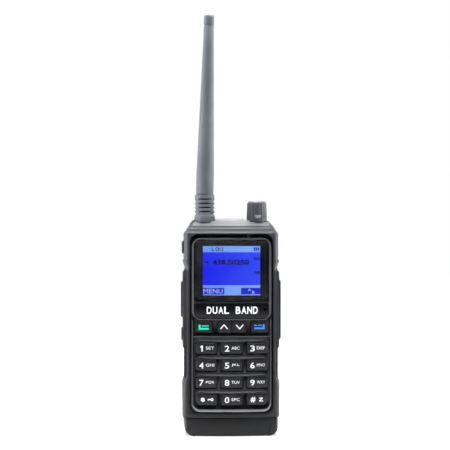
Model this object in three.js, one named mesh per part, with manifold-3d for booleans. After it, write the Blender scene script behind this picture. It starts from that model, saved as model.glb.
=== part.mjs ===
// Handheld two way radio, in millimetres.
// +Z is up, +X is right seen from the front, and the front faces -Y.
// The origin is the middle of the flat foot that the radio stands on.
import * as THREE from "three";
import { mergeVertices } from "three/addons/utils/BufferGeometryUtils.js";
import Module from "manifold-3d";

const wasm = await Module();
wasm.setup();

// ---------- driving dimensions ----------

// Gap that neighbouring pieces keep.
const GAP = 0.3;

// Body: the case stands on the battery's foot, and its front is crowned.
const BODY_TOP = 124;
const FOOT_TOP = 10.3;
const CASE_BOTTOM = FOOT_TOP + GAP;
const CASE_HALF_WIDTH = 27.9;
const CASE_FRONT = -16.6;
const CASE_BACK = 3;
const CROWN_RADIUS = 147;
const CORNER_START = 23.6;
const CORNER_DEPTH = 5.2;
const INNER_HALF_WIDTH = 24.2;
const SCOOP_HALF_WIDTH = 25.4;
const SCOOP_BACK = -10.6;
const INNER_FRONT = -12.4;
const CEILING = 119.8;

// Front panel, set in a recess of the case.
const RECESS_HALF_WIDTH = 23.9;
const RECESS_LOW = 13.1;
const RECESS_HIGH = 115.2;
const RECESS_FLOOR = -13.6;
const PANEL_HALF_WIDTH = 22.5;
const PANEL_LOW = 14;
const PANEL_HIGH = 112.7;
const PANEL_FRONT = -17.3;
const FLANGE_FRONT = -15.4;
const PANEL_BACK = -13.9;
const WINDOW_HALF_WIDTH = 21.6;
const WINDOW_LOW = 15.5;
const WINDOW_HIGH = 110.5;

// Display.
const LENS_HALF_WIDTH = 21.1;
const LENS_LOW = 77.6;
const LENS_HIGH = 111.7;
const LENS_FRONT = -17;
const LENS_BACK = -15;
const GLASS_HALF_WIDTH = 17;
const GLASS_LOW = 79.5;
const GLASS_HIGH = 109;

// Keys.
const KEY_COLUMNS = [-14.5, 0, 14.5];
const KEY_ROWS = [50.1, 40.4, 30.6, 20.8];
const KEY_NAMES = [
  ["key_1", "key_2", "key_3"],
  ["key_4", "key_5", "key_6"],
  ["key_7", "key_8", "key_9"],
  ["key_star", "key_0", "key_hash"],
];
const KEY_WIDTH = 11.8;
const KEY_HEIGHT = 5.8;
const KEY_DEPTH = 4.4;
const KEY_FRONT = -18.2;
const FUNCTION_KEY_Z = 62.25;
const FUNCTION_KEY_HEIGHT = 6.1;
const SOUND_SLOTS = [55, 44.75, 35.1, 25.6];
const SOUND_SLOT_END = 19;
const SOUND_SLOT_HEIGHT = 0.9;

// Antenna and volume knob, side by side on the top.
const TOP_AXIS_X = 15;
const TOP_AXIS_Y = -5.5;
const NECK_TOP = 137.6;
const WHIP_LENGTH = 97;
const WHIP_LEAN = THREE.MathUtils.degToRad(1.45);
const KNOB_BOTTOM = 122.3;
const KNOB_TOP = 134.1;

// Side controls. The keys are on the left and the jack cover on the right.
const SIDE_FRONT = -9.2;
const SIDE_BACK = 0.2;
const BUTTON_OUTER = 28.66;
const BUTTON_INNER = 24.8;
const PTT_LOW = 66.4;
const PTT_HIGH = 90.5;
const COVER_LOW = 53.8;
const COVER_HIGH = 90.5;
const JACK_Y = -4.5;

// Back: frame, battery and belt clip.
const FRAME_BACK = 5.3;
const BODY_BACK = 18.5;
const BACK_HALF_WIDTH = 26.2;
const BLOCK_LOW = 96.8;
const BATTERY_TOP = 96.4;
const BATTERY_FRONT = FRAME_BACK + GAP;
const FOOT_FRONT = -16.5;
const FOOT_HALF_WIDTH = 27;
const CLIP_PIN_Y = 23.4;
const CLIP_PIN_Z = 113;
const CLIP_HALF_WIDTH = 7.7;

// Steps in a quarter turn of a rounded corner, and sides of a round.
const CORNER_STEPS = 4;
const ROUND_SIDES = 24;
const CROWN_STEPS = 8;

// ---------- finishes ----------

const FINISHES = {
  casePlastic: { color: 0x34353a, roughness: 0.62, metalness: 0 },
  panelPlastic: { color: 0x141417, roughness: 0.45, metalness: 0 },
  keyRubber: { color: 0x1e1e22, roughness: 0.7, metalness: 0 },
  glass: { color: 0x10131c, roughness: 0.1, metalness: 0 },
  screen: { color: 0x2a43f0, roughness: 0.4, metalness: 0 },
  nameplate: { color: 0x1a1b20, roughness: 0.35, metalness: 0 },
  lamp: { color: 0xd8dcd8, roughness: 0.3, metalness: 0 },
  circuitBoard: { color: 0x1d5c38, roughness: 0.6, metalness: 0 },
  steel: { color: 0xb4b6ba, roughness: 0.35, metalness: 1 },
  brass: { color: 0xc7a456, roughness: 0.35, metalness: 1 },
  paper: { color: 0x2b2622, roughness: 0.9, metalness: 0 },
  dieCast: { color: 0x4a4b50, roughness: 0.55, metalness: 1 },
  antennaRubber: { color: 0x5a5d63, roughness: 0.75, metalness: 0 },
  knobPlastic: { color: 0x4c4e53, roughness: 0.6, metalness: 0 },
  coverRubber: { color: 0x2c2d31, roughness: 0.85, metalness: 0 },
  cellWrap: { color: 0x2f5fa8, roughness: 0.5, metalness: 0 },
};

// ---------- solids ----------

// Turns a closed three.js geometry into a solid that can be cut.
function solid(geometry) {
  geometry.deleteAttribute("normal");
  geometry.deleteAttribute("uv");
  const merged = mergeVertices(geometry, 1e-4);
  const mesh = new wasm.Mesh({
    numProp: 3,
    vertProperties: merged.attributes.position.array,
    triVerts: Uint32Array.from(merged.index.array),
  });
  return new wasm.Manifold(mesh);
}

// Turns a solid back into a geometry.
function geometryOf(body) {
  const mesh = body.getMesh();
  const geometry = new THREE.BufferGeometry();
  geometry.setAttribute("position", new THREE.BufferAttribute(mesh.vertProperties, 3));
  geometry.setIndex(new THREE.BufferAttribute(mesh.triVerts, 1));
  return geometry;
}

const join = (first, ...rest) => rest.reduce((whole, body) => whole.add(body), first);
const cut = (first, ...rest) => rest.reduce((whole, body) => whole.subtract(body), first);
const common = (first, ...rest) => rest.reduce((whole, body) => whole.intersect(body), first);

const outline = (points) => new THREE.Shape(points.map(([x, y]) => new THREE.Vector2(x, y)));

function extrusion(shape, length) {
  return new THREE.ExtrudeGeometry(shape, {
    depth: length,
    bevelEnabled: false,
    curveSegments: CROWN_STEPS,
  });
}

// A prism along Z from an outline in X and Y.
function prismZ(shape, low, high) {
  const geometry = extrusion(shape, high - low);
  geometry.translate(0, 0, low);
  return solid(geometry);
}

// A prism along Y from an outline in X and Z.
function prismY(shape, front, back) {
  const geometry = extrusion(shape, back - front);
  geometry.rotateX(Math.PI / 2);
  geometry.translate(0, back, 0);
  return solid(geometry);
}

// A prism along X from an outline in Y and Z.
function prismX(shape, left, right) {
  const geometry = extrusion(shape, right - left);
  const turn = new THREE.Matrix4().makeBasis(
    new THREE.Vector3(0, 1, 0),
    new THREE.Vector3(0, 0, 1),
    new THREE.Vector3(1, 0, 0),
  );
  geometry.applyMatrix4(turn);
  geometry.translate(left, 0, 0);
  return solid(geometry);
}

// A box between two corners.
function box(low, high) {
  const size = high.map((value, axis) => value - low[axis]);
  const geometry = new THREE.BoxGeometry(...size);
  geometry.translate(...low.map((value, axis) => value + size[axis] / 2));
  return solid(geometry);
}

// A rectangle with rounded corners: bottom left, bottom right, top right, top left.
function roundedRect(left, bottom, right, top, radii) {
  const corners = Array.isArray(radii) ? radii : [radii, radii, radii, radii];
  const centres = [
    [left + corners[0], bottom + corners[0]],
    [right - corners[1], bottom + corners[1]],
    [right - corners[2], top - corners[2]],
    [left + corners[3], top - corners[3]],
  ];
  const points = [];
  centres.forEach(([x, y], index) => {
    for (let step = 0; step <= CORNER_STEPS; step += 1) {
      const angle = Math.PI * (1 + index / 2 + step / CORNER_STEPS / 2);
      points.push([x + corners[index] * Math.cos(angle), y + corners[index] * Math.sin(angle)]);
    }
  });
  return outline(points);
}

function round(x, y, radius, sides = ROUND_SIDES) {
  const points = [];
  for (let side = 0; side < sides; side += 1) {
    const angle = (2 * Math.PI * side) / sides;
    points.push([x + radius * Math.cos(angle), y + radius * Math.sin(angle)]);
  }
  return outline(points);
}

// A turned solid about a line along Z, from a profile of radius and height.
function turned(profile, x = 0, y = 0, sides = ROUND_SIDES) {
  const points = profile.map(([radius, height]) => new THREE.Vector2(radius, height));
  const geometry = new THREE.LatheGeometry(points, sides);
  geometry.rotateX(Math.PI / 2);
  geometry.translate(x, y, 0);
  return solid(geometry);
}

// How far the crown has fallen back at this distance from the middle.
const crownFall = (x) => (x * x) / (2 * CROWN_RADIUS);

// A bar along Z whose front and back both follow the crown.
function crownedBar(halfWidth, front, back, low, high) {
  const fall = crownFall(halfWidth);
  const shape = new THREE.Shape();
  shape.moveTo(-halfWidth, front + fall);
  shape.quadraticCurveTo(0, front - fall, halfWidth, front + fall);
  shape.lineTo(halfWidth, back + fall);
  shape.quadraticCurveTo(0, back - fall, -halfWidth, back + fall);
  return prismZ(shape, low, high);
}

// A crowned plate with rounded corners.
function crownedPlate(halfWidth, front, back, low, high, radii) {
  const face = roundedRect(-halfWidth, low, halfWidth, high, radii);
  const bar = crownedBar(halfWidth + 1, front, back, low - 1, high + 1);
  return common(bar, prismY(face, front - 1, back + 2 * crownFall(halfWidth) + 1));
}

// Seen from above: a crowned front, round front corners and straight sides.
function bodyPlan(halfWidth, front, back, backRadius) {
  const start = halfWidth - (CASE_HALF_WIDTH - CORNER_START);
  const fall = crownFall(start);
  const shape = new THREE.Shape();
  shape.moveTo(-start, front + fall);
  shape.quadraticCurveTo(0, front - fall, start, front + fall);
  shape.quadraticCurveTo(halfWidth, front + fall + 0.3, halfWidth, front + fall + CORNER_DEPTH);
  shape.lineTo(halfWidth, back - backRadius);
  shape.quadraticCurveTo(halfWidth, back, halfWidth - backRadius, back);
  shape.lineTo(backRadius - halfWidth, back);
  shape.quadraticCurveTo(-halfWidth, back, -halfWidth, back - backRadius);
  shape.lineTo(-halfWidth, front + fall + CORNER_DEPTH);
  shape.quadraticCurveTo(-halfWidth, front + fall + 0.3, -start, front + fall);
  return shape;
}

const mirrored = (points) => points.map(([x, z]) => [-x, z]).reverse();

// ---------- the tree ----------

const radio = new THREE.Group();

function addPiece(name, body, finish, parent = radio) {
  const mesh = new THREE.Mesh(geometryOf(body), new THREE.MeshStandardMaterial(FINISHES[finish]));
  mesh.name = name;
  parent.add(mesh);
  return mesh;
}

// ---------- front case ----------

// Right side of the case seen from the front, from the seam up to the shoulder.
const CASE_SIDE = [
  [CASE_HALF_WIDTH, CASE_BOTTOM],
  [CASE_HALF_WIDTH, 30.5],
  [26.9, 33.5],
  [26.9, 49.5],
  [27.6, 50.5],
  [27.6, 93.3],
  [26.5, 94.7],
  [26.5, 96.5],
  [27.6, 99.8],
  [27, 100.9],
  [27, 115.6],
];

function caseFace() {
  const right = [[24.8, 118.2], [23.1, 120.9], [21.3, 122.6], [9.3, 123], [7.1, BODY_TOP]];
  const left = [[-8, BODY_TOP], [-21.1, 123.3], [-22.9, 122], [-23.8, 120.3], [-25.1, 119.2], [-25.9, 117.6]];
  return outline([...CASE_SIDE, ...right, ...left, ...mirrored(CASE_SIDE)]);
}

function caseSideProfile() {
  return outline([
    [-17.5, CASE_BOTTOM],
    [CASE_BACK, CASE_BOTTOM],
    [CASE_BACK, 122.4],
    [1.4, BODY_TOP],
    [-8.6, BODY_TOP],
    [-10.4, 123],
    [-11.6, 121.2],
    [-14.3, 119.9],
    [-14.8, 118],
    [-16.6, 116.9],
    [-17.5, 115.6],
  ]);
}

function caseShell() {
  const outer = common(
    prismZ(bodyPlan(CASE_HALF_WIDTH, CASE_FRONT, CASE_BACK, 0.6), CASE_BOTTOM, BODY_TOP + 1),
    prismY(caseFace(), -20, 5),
    prismX(caseSideProfile(), -30, 30),
  );
  const face = roundedRect(-INNER_HALF_WIDTH, CASE_BOTTOM + 2.2, INNER_HALF_WIDTH, CEILING, [3, 3, 6, 6]);
  const side = outline([
    [-13, CASE_BOTTOM],
    [CASE_BACK + 1, CASE_BOTTOM],
    [CASE_BACK + 1, BODY_TOP],
    [-11.4, BODY_TOP],
    [-12.3, 117.2],
    [-13, 115],
  ]);
  const inner = common(
    crownedBar(INNER_HALF_WIDTH + 1, INNER_FRONT, CASE_BACK + 1, CASE_BOTTOM, BODY_TOP),
    prismY(face, -14, CASE_BACK + 4),
    prismX(side, -30, 30),
  );
  return cut(outer, inner, ...gripScoops());
}

// The front corners are scooped out beside the side keys, between the flare and the shoulders.
function gripScoops() {
  const right = [[SCOOP_HALF_WIDTH, 36.5], [30, 31.8], [30, 96.9], [SCOOP_HALF_WIDTH, 93.2]];
  return [right, mirrored(right)].map((points) => prismY(outline(points), -20, SCOOP_BACK));
}

// The wall of the case carries the antenna's boss and the rear screws' posts.
function frontCase() {
  const boss = turned(
    [[0, CEILING], [8.2, CEILING], [8.2, 121.6], [7.4, 122.7], [6.6, 123], [0, 123]],
    -TOP_AXIS_X,
    TOP_AXIS_Y,
  );
  const posts = [-1, 1].map((side) => {
    const near = side * 16.8;
    const far = side * (INNER_HALF_WIDTH + 0.5);
    return box([Math.min(near, far), -8.2, 20.4], [Math.max(near, far), CASE_BACK, 24.4]);
  });
  let body = join(caseShell(), boss, ...posts);
  body = common(body, box([-40, -40, 0], [40, CASE_BACK, 200]));
  const radius = 4.7;
  const recess = crownedPlate(RECESS_HALF_WIDTH, -20, RECESS_FLOOR, RECESS_LOW, RECESS_HIGH, radius);
  const window = prismY(
    roundedRect(-WINDOW_HALF_WIDTH, WINDOW_LOW, WINDOW_HALF_WIDTH, WINDOW_HIGH, 3),
    -20,
    -10,
  );
  const lampHole = prismY(round(9.9, 114, 1.1, 12), -20, -10);
  const sideHoles = [[PTT_LOW, PTT_HIGH], [54, 61.6], [103.9, 111.3]].map(([low, high]) => box(
    [-30, SIDE_FRONT - GAP, low - GAP],
    [-INNER_HALF_WIDTH + 1, SIDE_BACK + GAP, high + GAP],
  ));
  const coverSeat = box(
    [26.7, SIDE_FRONT - GAP, COVER_LOW - GAP],
    [30, SIDE_BACK + GAP, COVER_HIGH + GAP],
  );
  const jackHoles = [78, 66.6].map((z) => prismX(round(JACK_Y, z, 2.4, 16), 23, 30));
  const socketHole = prismZ(round(-TOP_AXIS_X, TOP_AXIS_Y, 3.4), 115, 130);
  const shaftHole = prismZ(round(TOP_AXIS_X, TOP_AXIS_Y, 4.1), 115, 130);
  const knobDish = prismZ(round(TOP_AXIS_X, TOP_AXIS_Y, 6.9), 121.9, 130);
  const antennaDish = prismZ(round(-TOP_AXIS_X, TOP_AXIS_Y, 6.5), 123, 130);
  const screwHoles = [-19, 19].map((x) => prismY(round(x, 22.4, 1.4, 12), -6, CASE_BACK + 1));
  return cut(
    body,
    recess,
    window,
    lampHole,
    ...sideHoles,
    coverSeat,
    ...jackHoles,
    socketHole,
    shaftHole,
    knobDish,
    antennaDish,
    ...screwHoles,
  );
}

// ---------- front panel ----------

function frontPanel() {
  const raised = crownedPlate(PANEL_HALF_WIDTH, PANEL_FRONT, PANEL_BACK, PANEL_LOW, PANEL_HIGH, 4);
  const flange = crownedPlate(
    RECESS_HALF_WIDTH - GAP,
    FLANGE_FRONT,
    PANEL_BACK,
    RECESS_LOW + GAP,
    RECESS_HIGH - GAP,
    4.4,
  );
  const lensSeat = prismY(
    roundedRect(-LENS_HALF_WIDTH - GAP, LENS_LOW - GAP, LENS_HALF_WIDTH + GAP, LENS_HIGH + GAP, 2.5),
    -20,
    LENS_BACK + GAP,
  );
  const displayHole = prismY(
    roundedRect(-GLASS_HALF_WIDTH - GAP, GLASS_LOW - GAP, GLASS_HALF_WIDTH + GAP, GLASS_HIGH + GAP, 0.8),
    -20,
    -10,
  );
  const plateSeat = crownedPlate(21.8, -20, -16.1, 66.9, 75.9, 1.6);
  const numberHoles = KEY_ROWS.flatMap((z) => KEY_COLUMNS.map((x) => box(
    [x - KEY_WIDTH / 2 - GAP, -20, z - KEY_HEIGHT / 2 - GAP],
    [x + KEY_WIDTH / 2 + GAP, -10, z + KEY_HEIGHT / 2 + GAP],
  )));
  const functionHoles = [[-20.75, -11.1], [-7.9, 7.9], [11.1, 20.75]].map(([left, right]) => box(
    [left - GAP, -20, FUNCTION_KEY_Z - FUNCTION_KEY_HEIGHT / 2 - GAP],
    [right + GAP, -10, FUNCTION_KEY_Z + FUNCTION_KEY_HEIGHT / 2 + GAP],
  ));
  const slots = SOUND_SLOTS.flatMap((z) => [-1, 1].map((side) => box(
    [side < 0 ? -SOUND_SLOT_END : 1, -20, z - SOUND_SLOT_HEIGHT / 2],
    [side < 0 ? -1 : SOUND_SLOT_END, -10, z + SOUND_SLOT_HEIGHT / 2],
  )));
  const micHole = prismY(round(19, 72.2, 0.9, 12), -20, -10);
  const lampHole = prismY(round(9.9, 114, 1.1, 12), -20, -10);
  return cut(
    join(raised, flange),
    lensSeat,
    displayHole,
    plateSeat,
    ...numberHoles,
    ...functionHoles,
    ...slots,
    micHole,
    lampHole,
  );
}

function addFrontPieces() {
  addPiece("front_case", frontCase(), "casePlastic");
  addPiece("front_panel", frontPanel(), "panelPlastic");
  const lens = common(
    crownedPlate(LENS_HALF_WIDTH, LENS_FRONT, -10, LENS_LOW, LENS_HIGH, 2.2),
    box([-30, -20, 0], [30, LENS_BACK, 200]),
  );
  addPiece("lcd_lens", lens, "glass");
  const module = join(
    box([-19, -12.3, 79], [19, -10.3, 110]),
    box([-GLASS_HALF_WIDTH, LENS_BACK + GAP, GLASS_LOW], [GLASS_HALF_WIDTH, -12, GLASS_HIGH]),
  );
  addPiece("lcd_module", module, "screen");
  const plate = cut(
    crownedPlate(21.5, -17.2, -16.4, 67.2, 75.6, 1.3),
    prismY(round(19, 72.2, 0.9, 12), -20, -10),
  );
  addPiece("nameplate", plate, "nameplate");
  addPiece("status_led", prismY(round(9.9, 114, 0.8, 12), -15.6, -12.7), "lamp");
  addPiece("microphone", prismY(round(19, 72.2, 2.2, 16), -12.1, -10.3), "steel");
}

// ---------- keys ----------

// A key's outline about its own centre, its front at Y 0.
function addKey(name, x, z, width, height, radii) {
  const face = roundedRect(-width / 2, -height / 2, width / 2, height / 2, radii);
  const key = addPiece(name, prismY(face, 0, KEY_DEPTH), "keyRubber");
  key.position.set(x, KEY_FRONT + crownFall(x), z);
}

function addKeys() {
  const cornerRadius = 1;
  const outerRadius = 3;
  KEY_NAMES.forEach((names, row) => names.forEach((name, column) => {
    const radii = [cornerRadius, cornerRadius, cornerRadius, cornerRadius];
    if (name === "key_star") radii[0] = outerRadius;
    if (name === "key_hash") radii[1] = outerRadius;
    addKey(name, KEY_COLUMNS[column], KEY_ROWS[row], KEY_WIDTH, KEY_HEIGHT, radii);
  }));
  const outer = { centre: 15.925, width: 9.65 };
  const inner = { centre: 4.025, width: 7.75 };
  addKey("key_menu", -outer.centre, FUNCTION_KEY_Z, outer.width, FUNCTION_KEY_HEIGHT, cornerRadius);
  addKey("key_up", -inner.centre, FUNCTION_KEY_Z, inner.width, FUNCTION_KEY_HEIGHT, cornerRadius);
  addKey("key_down", inner.centre, FUNCTION_KEY_Z, inner.width, FUNCTION_KEY_HEIGHT, cornerRadius);
  addKey("key_exit", outer.centre, FUNCTION_KEY_Z, outer.width, FUNCTION_KEY_HEIGHT, cornerRadius);
  addPiece("keypad_mat", box([-20.5, -12.1, 16.5], [20.5, -10.3, 66]), "keyRubber");
}

// ---------- inside the case ----------

const SPEAKER_Z = 40;

// A turned solid whose axis runs backwards along Y through the speaker's middle.
function speakerTurned(profile) {
  const flipped = profile.map(([radius, depth]) => [radius, -depth]);
  flipped.reverse();
  return turned(flipped).rotate([90, 0, 0]).translate([0, 0, SPEAKER_Z]);
}

function addInnerPieces() {
  const boardHoles = [-12, -4, 4, 12].map((x) => prismY(round(x, SPEAKER_Z, 1.6, 12), -12, -8));
  const board = cut(
    prismY(roundedRect(-23.2, 14, 23.2, 108.5, 2), -10, -8.8),
    ...boardHoles,
  );
  addPiece("main_board", board, "circuitBoard");
  const shield = cut(
    box([-18, -8.5, 64], [16, -5.6, 106]),
    box([-17.4, -9, 64.6], [15.4, -6.2, 105.4]),
  );
  addPiece("rf_shield", shield, "steel");

  addPiece("speaker_frame", speakerTurned([
    [17, -8.4],
    [18, -8.4],
    [18, -6.9],
    [11, -3.2],
    [11, -1.9],
    [9.8, -1.9],
    [9.8, -3.9],
    [17, -7.6],
    [17, -8.4],
  ]), "steel");
  addPiece("speaker_cone", speakerTurned([
    [0, -6.6],
    [5, -6.9],
    [15.8, -8.3],
    [16.6, -8.3],
    [16.6, -7.9],
    [6.6, -5.2],
    [0, -5.2],
  ]), "paper");
  addPiece("speaker_magnet", prismY(round(0, SPEAKER_Z, 9.4), -4.8, 1.2), "steel");
  const sideBoard = prismX(roundedRect(-8.3, 54, 1.5, 112, 1), -23.5, -22.3);
  addPiece("side_switch_board", sideBoard, "circuitBoard");
  const jacks = [["speaker_jack", 78, 3.6, 1.8], ["mic_jack", 66.6, 3, 1.3]];
  jacks.forEach(([name, z, radius, bore]) => {
    const jack = cut(
      prismX(round(JACK_Y, z, radius, 16), 17.9, 23.8),
      prismX(round(JACK_Y, z, bore, 16), 19.3, 25),
    );
    addPiece(name, jack, "steel");
  });
}

// ---------- top controls ----------

function addVolumeControl() {
  const control = cut(
    join(
      box([TOP_AXIS_X - 5.2, TOP_AXIS_Y - 4.4, 109.3], [TOP_AXIS_X + 5.2, TOP_AXIS_Y + 4.4, 116.8]),
      prismZ(round(TOP_AXIS_X, TOP_AXIS_Y, 3.8), 116, 125.4),
    ),
    prismZ(round(TOP_AXIS_X, TOP_AXIS_Y, 2.8), 117, 130),
  );
  addPiece("volume_control", control, "steel");
  addPiece("volume_shaft", prismZ(round(TOP_AXIS_X, TOP_AXIS_Y, 2.5), 117.3, 131.6), "steel");

  const flutes = 18;
  const rim = [];
  for (let flute = 0; flute < flutes; flute += 1) {
    [[0, 5.9], [0.35, 5.9], [0.5, 5.55], [0.85, 5.55]].forEach(([part, radius]) => {
      const angle = (2 * Math.PI * (flute + part)) / flutes;
      rim.push([TOP_AXIS_X + radius * Math.cos(angle), TOP_AXIS_Y + radius * Math.sin(angle)]);
    });
  }
  const dome = turned(
    [[0, KNOB_BOTTOM], [6.2, KNOB_BOTTOM], [6.1, 132], [5.4, 133.3], [4, 133.9], [0, KNOB_TOP]],
    TOP_AXIS_X,
    TOP_AXIS_Y,
    36,
  );
  const knob = cut(
    common(prismZ(outline(rim), KNOB_BOTTOM - 1, KNOB_TOP + 1), dome),
    prismZ(round(TOP_AXIS_X, TOP_AXIS_Y, 4.3), 120, 126),
    prismZ(round(TOP_AXIS_X, TOP_AXIS_Y, 2.8), 120, 132),
  );
  addPiece("volume_knob", knob, "knobPlastic");
}

function addAntenna() {
  addPiece("antenna_socket", turned([
    [0, 112],
    [2, 112],
    [2, 116.2],
    [4.8, 116.2],
    [4.8, 119.4],
    [3, 119.4],
    [3, 125.7],
    [1.1, 125.7],
    [1.1, 121],
    [0, 121],
  ], -TOP_AXIS_X, TOP_AXIS_Y), "brass");
  addPiece("antenna_connector", turned([
    [0, 122],
    [0.7, 122],
    [0.7, 126],
    [3.4, 126],
    [3.4, 123.7],
    [4.3, 123.7],
    [4.3, 126.9],
    [0, 126.9],
  ], -TOP_AXIS_X, TOP_AXIS_Y), "brass");

  // The flexible neck: a collar, then four ridges with grooves between them.
  const profile = [[0, 127.2], [4.6, 127.2], [4.6, 123.3], [5.97, 123.3], [5.97, 125.4], [5.4, 126.3]];
  const firstRidge = 128.1;
  const ridgePitch = 2.4;
  for (let ridge = 0; ridge < 4; ridge += 1) {
    const middle = firstRidge + ridge * ridgePitch;
    profile.push([4.95, middle - 1.2], [5.66, middle - 0.7], [5.66, middle + 0.7]);
  }
  profile.push([4.95, 136.5], [5.1, NECK_TOP], [0, NECK_TOP]);
  addPiece("antenna_sleeve", turned(profile, -TOP_AXIS_X, TOP_AXIS_Y), "antennaRubber");

  // The whip leans a little to the right.
  const whip = new THREE.Group();
  whip.position.set(-TOP_AXIS_X, TOP_AXIS_Y, NECK_TOP + GAP);
  whip.rotation.y = WHIP_LEAN;
  radio.add(whip);
  addPiece("antenna_whip", turned([
    [0, 0],
    [5, 0],
    [4.95, 12],
    [3.1, WHIP_LENGTH - 10],
    [2.95, WHIP_LENGTH],
    [0, WHIP_LENGTH],
  ]), "antennaRubber", whip);
  addPiece("antenna_tip", turned([
    [0, WHIP_LENGTH + GAP],
    [2.95, WHIP_LENGTH + GAP],
    [2.9, WHIP_LENGTH + 4.4],
    [2.5, WHIP_LENGTH + 6],
    [1.5, WHIP_LENGTH + 6.9],
    [0, WHIP_LENGTH + 7.2],
  ]), "antennaRubber", whip);
}

// ---------- side controls ----------

function sideButton(low, high, outer, radius) {
  return prismX(roundedRect(SIDE_FRONT, low, SIDE_BACK, high, radius), -outer, -BUTTON_INNER);
}

function addSideControls() {
  const pttRib = 0.5;
  const grooves = [72, 75, 78, 81, 84].map((z) => box(
    [-30, SIDE_FRONT - 1, z - 0.5],
    [pttRib - BUTTON_OUTER, SIDE_BACK + 1, z + 0.5],
  ));
  addPiece("ptt_button", cut(sideButton(PTT_LOW, PTT_HIGH, BUTTON_OUTER, 1.8), ...grooves), "coverRubber");
  addPiece("side_key_lower", sideButton(54, 61.6, 28.4, 1.8), "coverRubber");
  addPiece("side_key_upper", sideButton(103.9, 111.3, 28.1, 1.8), "coverRubber");
  const cover = cut(
    prismX(roundedRect(SIDE_FRONT, COVER_LOW, SIDE_BACK, COVER_HIGH, 1.8), 27, BUTTON_OUTER),
    ...[60, 64, 68, 72, 76, 80, 84].map((z) => box(
      [BUTTON_OUTER - 0.5, -7.4, z - 0.5],
      [30, -1.6, z + 0.5],
    )),
  );
  addPiece("jack_cover", cover, "coverRubber");
}

// ---------- back ----------

function rearFrame() {
  const plateFace = outline([...CASE_SIDE, [24.8, 118.2], [22.4, 121.4]]
    .concat(mirrored([...CASE_SIDE, [24.8, 118.2], [22.4, 121.4]])));
  const plate = common(
    prismY(plateFace, CASE_BACK + GAP, FRAME_BACK),
    box([-27, 0, CASE_BOTTOM], [27, 10, 121.4]),
  );
  const blockPlan = roundedRect(-BACK_HALF_WIDTH, 4, BACK_HALF_WIDTH, BODY_BACK, [0.5, 0.5, 5, 5]);
  const blockSide = outline([
    [4, BLOCK_LOW],
    [BODY_BACK, BLOCK_LOW],
    [BODY_BACK, 116.6],
    [15.5, 119.8],
    [10, 121.4],
    [4, 121.4],
  ]);
  const blockCorner = [[BACK_HALF_WIDTH, 90], [BACK_HALF_WIDTH, 116.4], [24, 119.2], [21.6, 121.4]];
  const blockFace = prismY(outline([...blockCorner, ...mirrored(blockCorner)]), 0, 30);
  const block = common(prismZ(blockPlan, BLOCK_LOW, 121.4), prismX(blockSide, -30, 30), blockFace);
  const hollowSide = outline([
    [2, BLOCK_LOW + 2],
    [BODY_BACK - 2.2, BLOCK_LOW + 2],
    [BODY_BACK - 2.2, 115.6],
    [14, 117.8],
    [9, 119.2],
    [2, 119.2],
  ]);
  const hollowCorner = [[23.6, 90], [23.6, 115.4], [20, 119.2]];
  const hollowFace = prismY(outline([...hollowCorner, ...mirrored(hollowCorner)]), 0, 30);
  const latchHole = box([-8.3, 14, 99.3], [8.3, 20, 103.3]);
  const latchSlot = box([-5.3, 8.2, 95], [5.3, 13.2, 100]);
  const screwHoles = [-7.5, 7.5].map((x) => prismY(round(x, 107.4, 1.5, 12), 10, 20));
  const caseScrewHoles = [-19, 19].map((x) => prismY(round(x, 22.4, 2.7, 16), 0, 10));
  return cut(
    join(plate, block),
    common(prismX(hollowSide, -23.6, 23.6), hollowFace),
    latchHole,
    latchSlot,
    ...screwHoles,
    ...caseScrewHoles,
  );
}

function screwAlongY(x, z, head, seat, tip, headRadius, shankRadius) {
  const body = join(
    prismY(round(x, z, headRadius, 16), seat, head),
    prismY(round(x, z, shankRadius, 12), tip, seat + 0.2),
  );
  const slot = 0.35;
  const cross = head - 0.7;
  return cut(
    body,
    box([x - headRadius * 0.6, cross, z - slot], [x + headRadius * 0.6, head + 1, z + slot]),
    box([x - slot, cross, z - headRadius * 0.6], [x + slot, head + 1, z + headRadius * 0.6]),
  );
}

function addBackPieces() {
  addPiece("rear_frame", rearFrame(), "dieCast");
  ["left", "right"].forEach((side, index) => {
    const sign = index * 2 - 1;
    addPiece(`case_screw_${side}`, screwAlongY(sign * 19, 22.4, 5.2, 3.6, -5.4, 2.4, 1.1), "steel");
    addPiece(`clip_screw_${side}`, screwAlongY(sign * 7.5, 107.4, 21.9, 21.1, 12, 2.4, 1.2), "steel");
  });

  const latch = join(
    box([-8, 15, 99.6], [8, 19, 103]),
    box([-9.4, 14, 99.2], [9.4, 15.9, 104.4]),
    box([-5, 10, 97.1], [5, 12.9, 100.8]),
    box([-5, 10, 99.2], [5, 14.4, 100.8]),
  );
  addPiece("battery_latch", latch, "casePlastic");
}

function batteryShell() {
  const shell = prismZ(
    roundedRect(-BACK_HALF_WIDTH, BATTERY_FRONT, BACK_HALF_WIDTH, BODY_BACK, [0.5, 0.5, 5, 5]),
    4,
    BATTERY_TOP,
  );
  const edge = 5.5;
  const face = roundedRect(-FOOT_HALF_WIDTH, 0, FOOT_HALF_WIDTH, 30, [edge, edge, 1, 1]);
  const bottomEdge = 2.4;
  const side = roundedRect(FOOT_FRONT, 0, BODY_BACK, 30, [bottomEdge, bottomEdge, 1, 1]);
  const foot = common(
    prismZ(bodyPlan(FOOT_HALF_WIDTH, FOOT_FRONT, BODY_BACK, 5), 0, FOOT_TOP),
    prismY(face, -20, 25),
    prismX(side, -30, 30),
  );
  return cut(
    join(shell, foot),
    box([-23.8, 0, FOOT_TOP + 2], [23.8, 16.4, 94]),
    prismZ(roundedRect(-21, -12.6, 21, 2.4, 3), 3, 15),
  );
}

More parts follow.
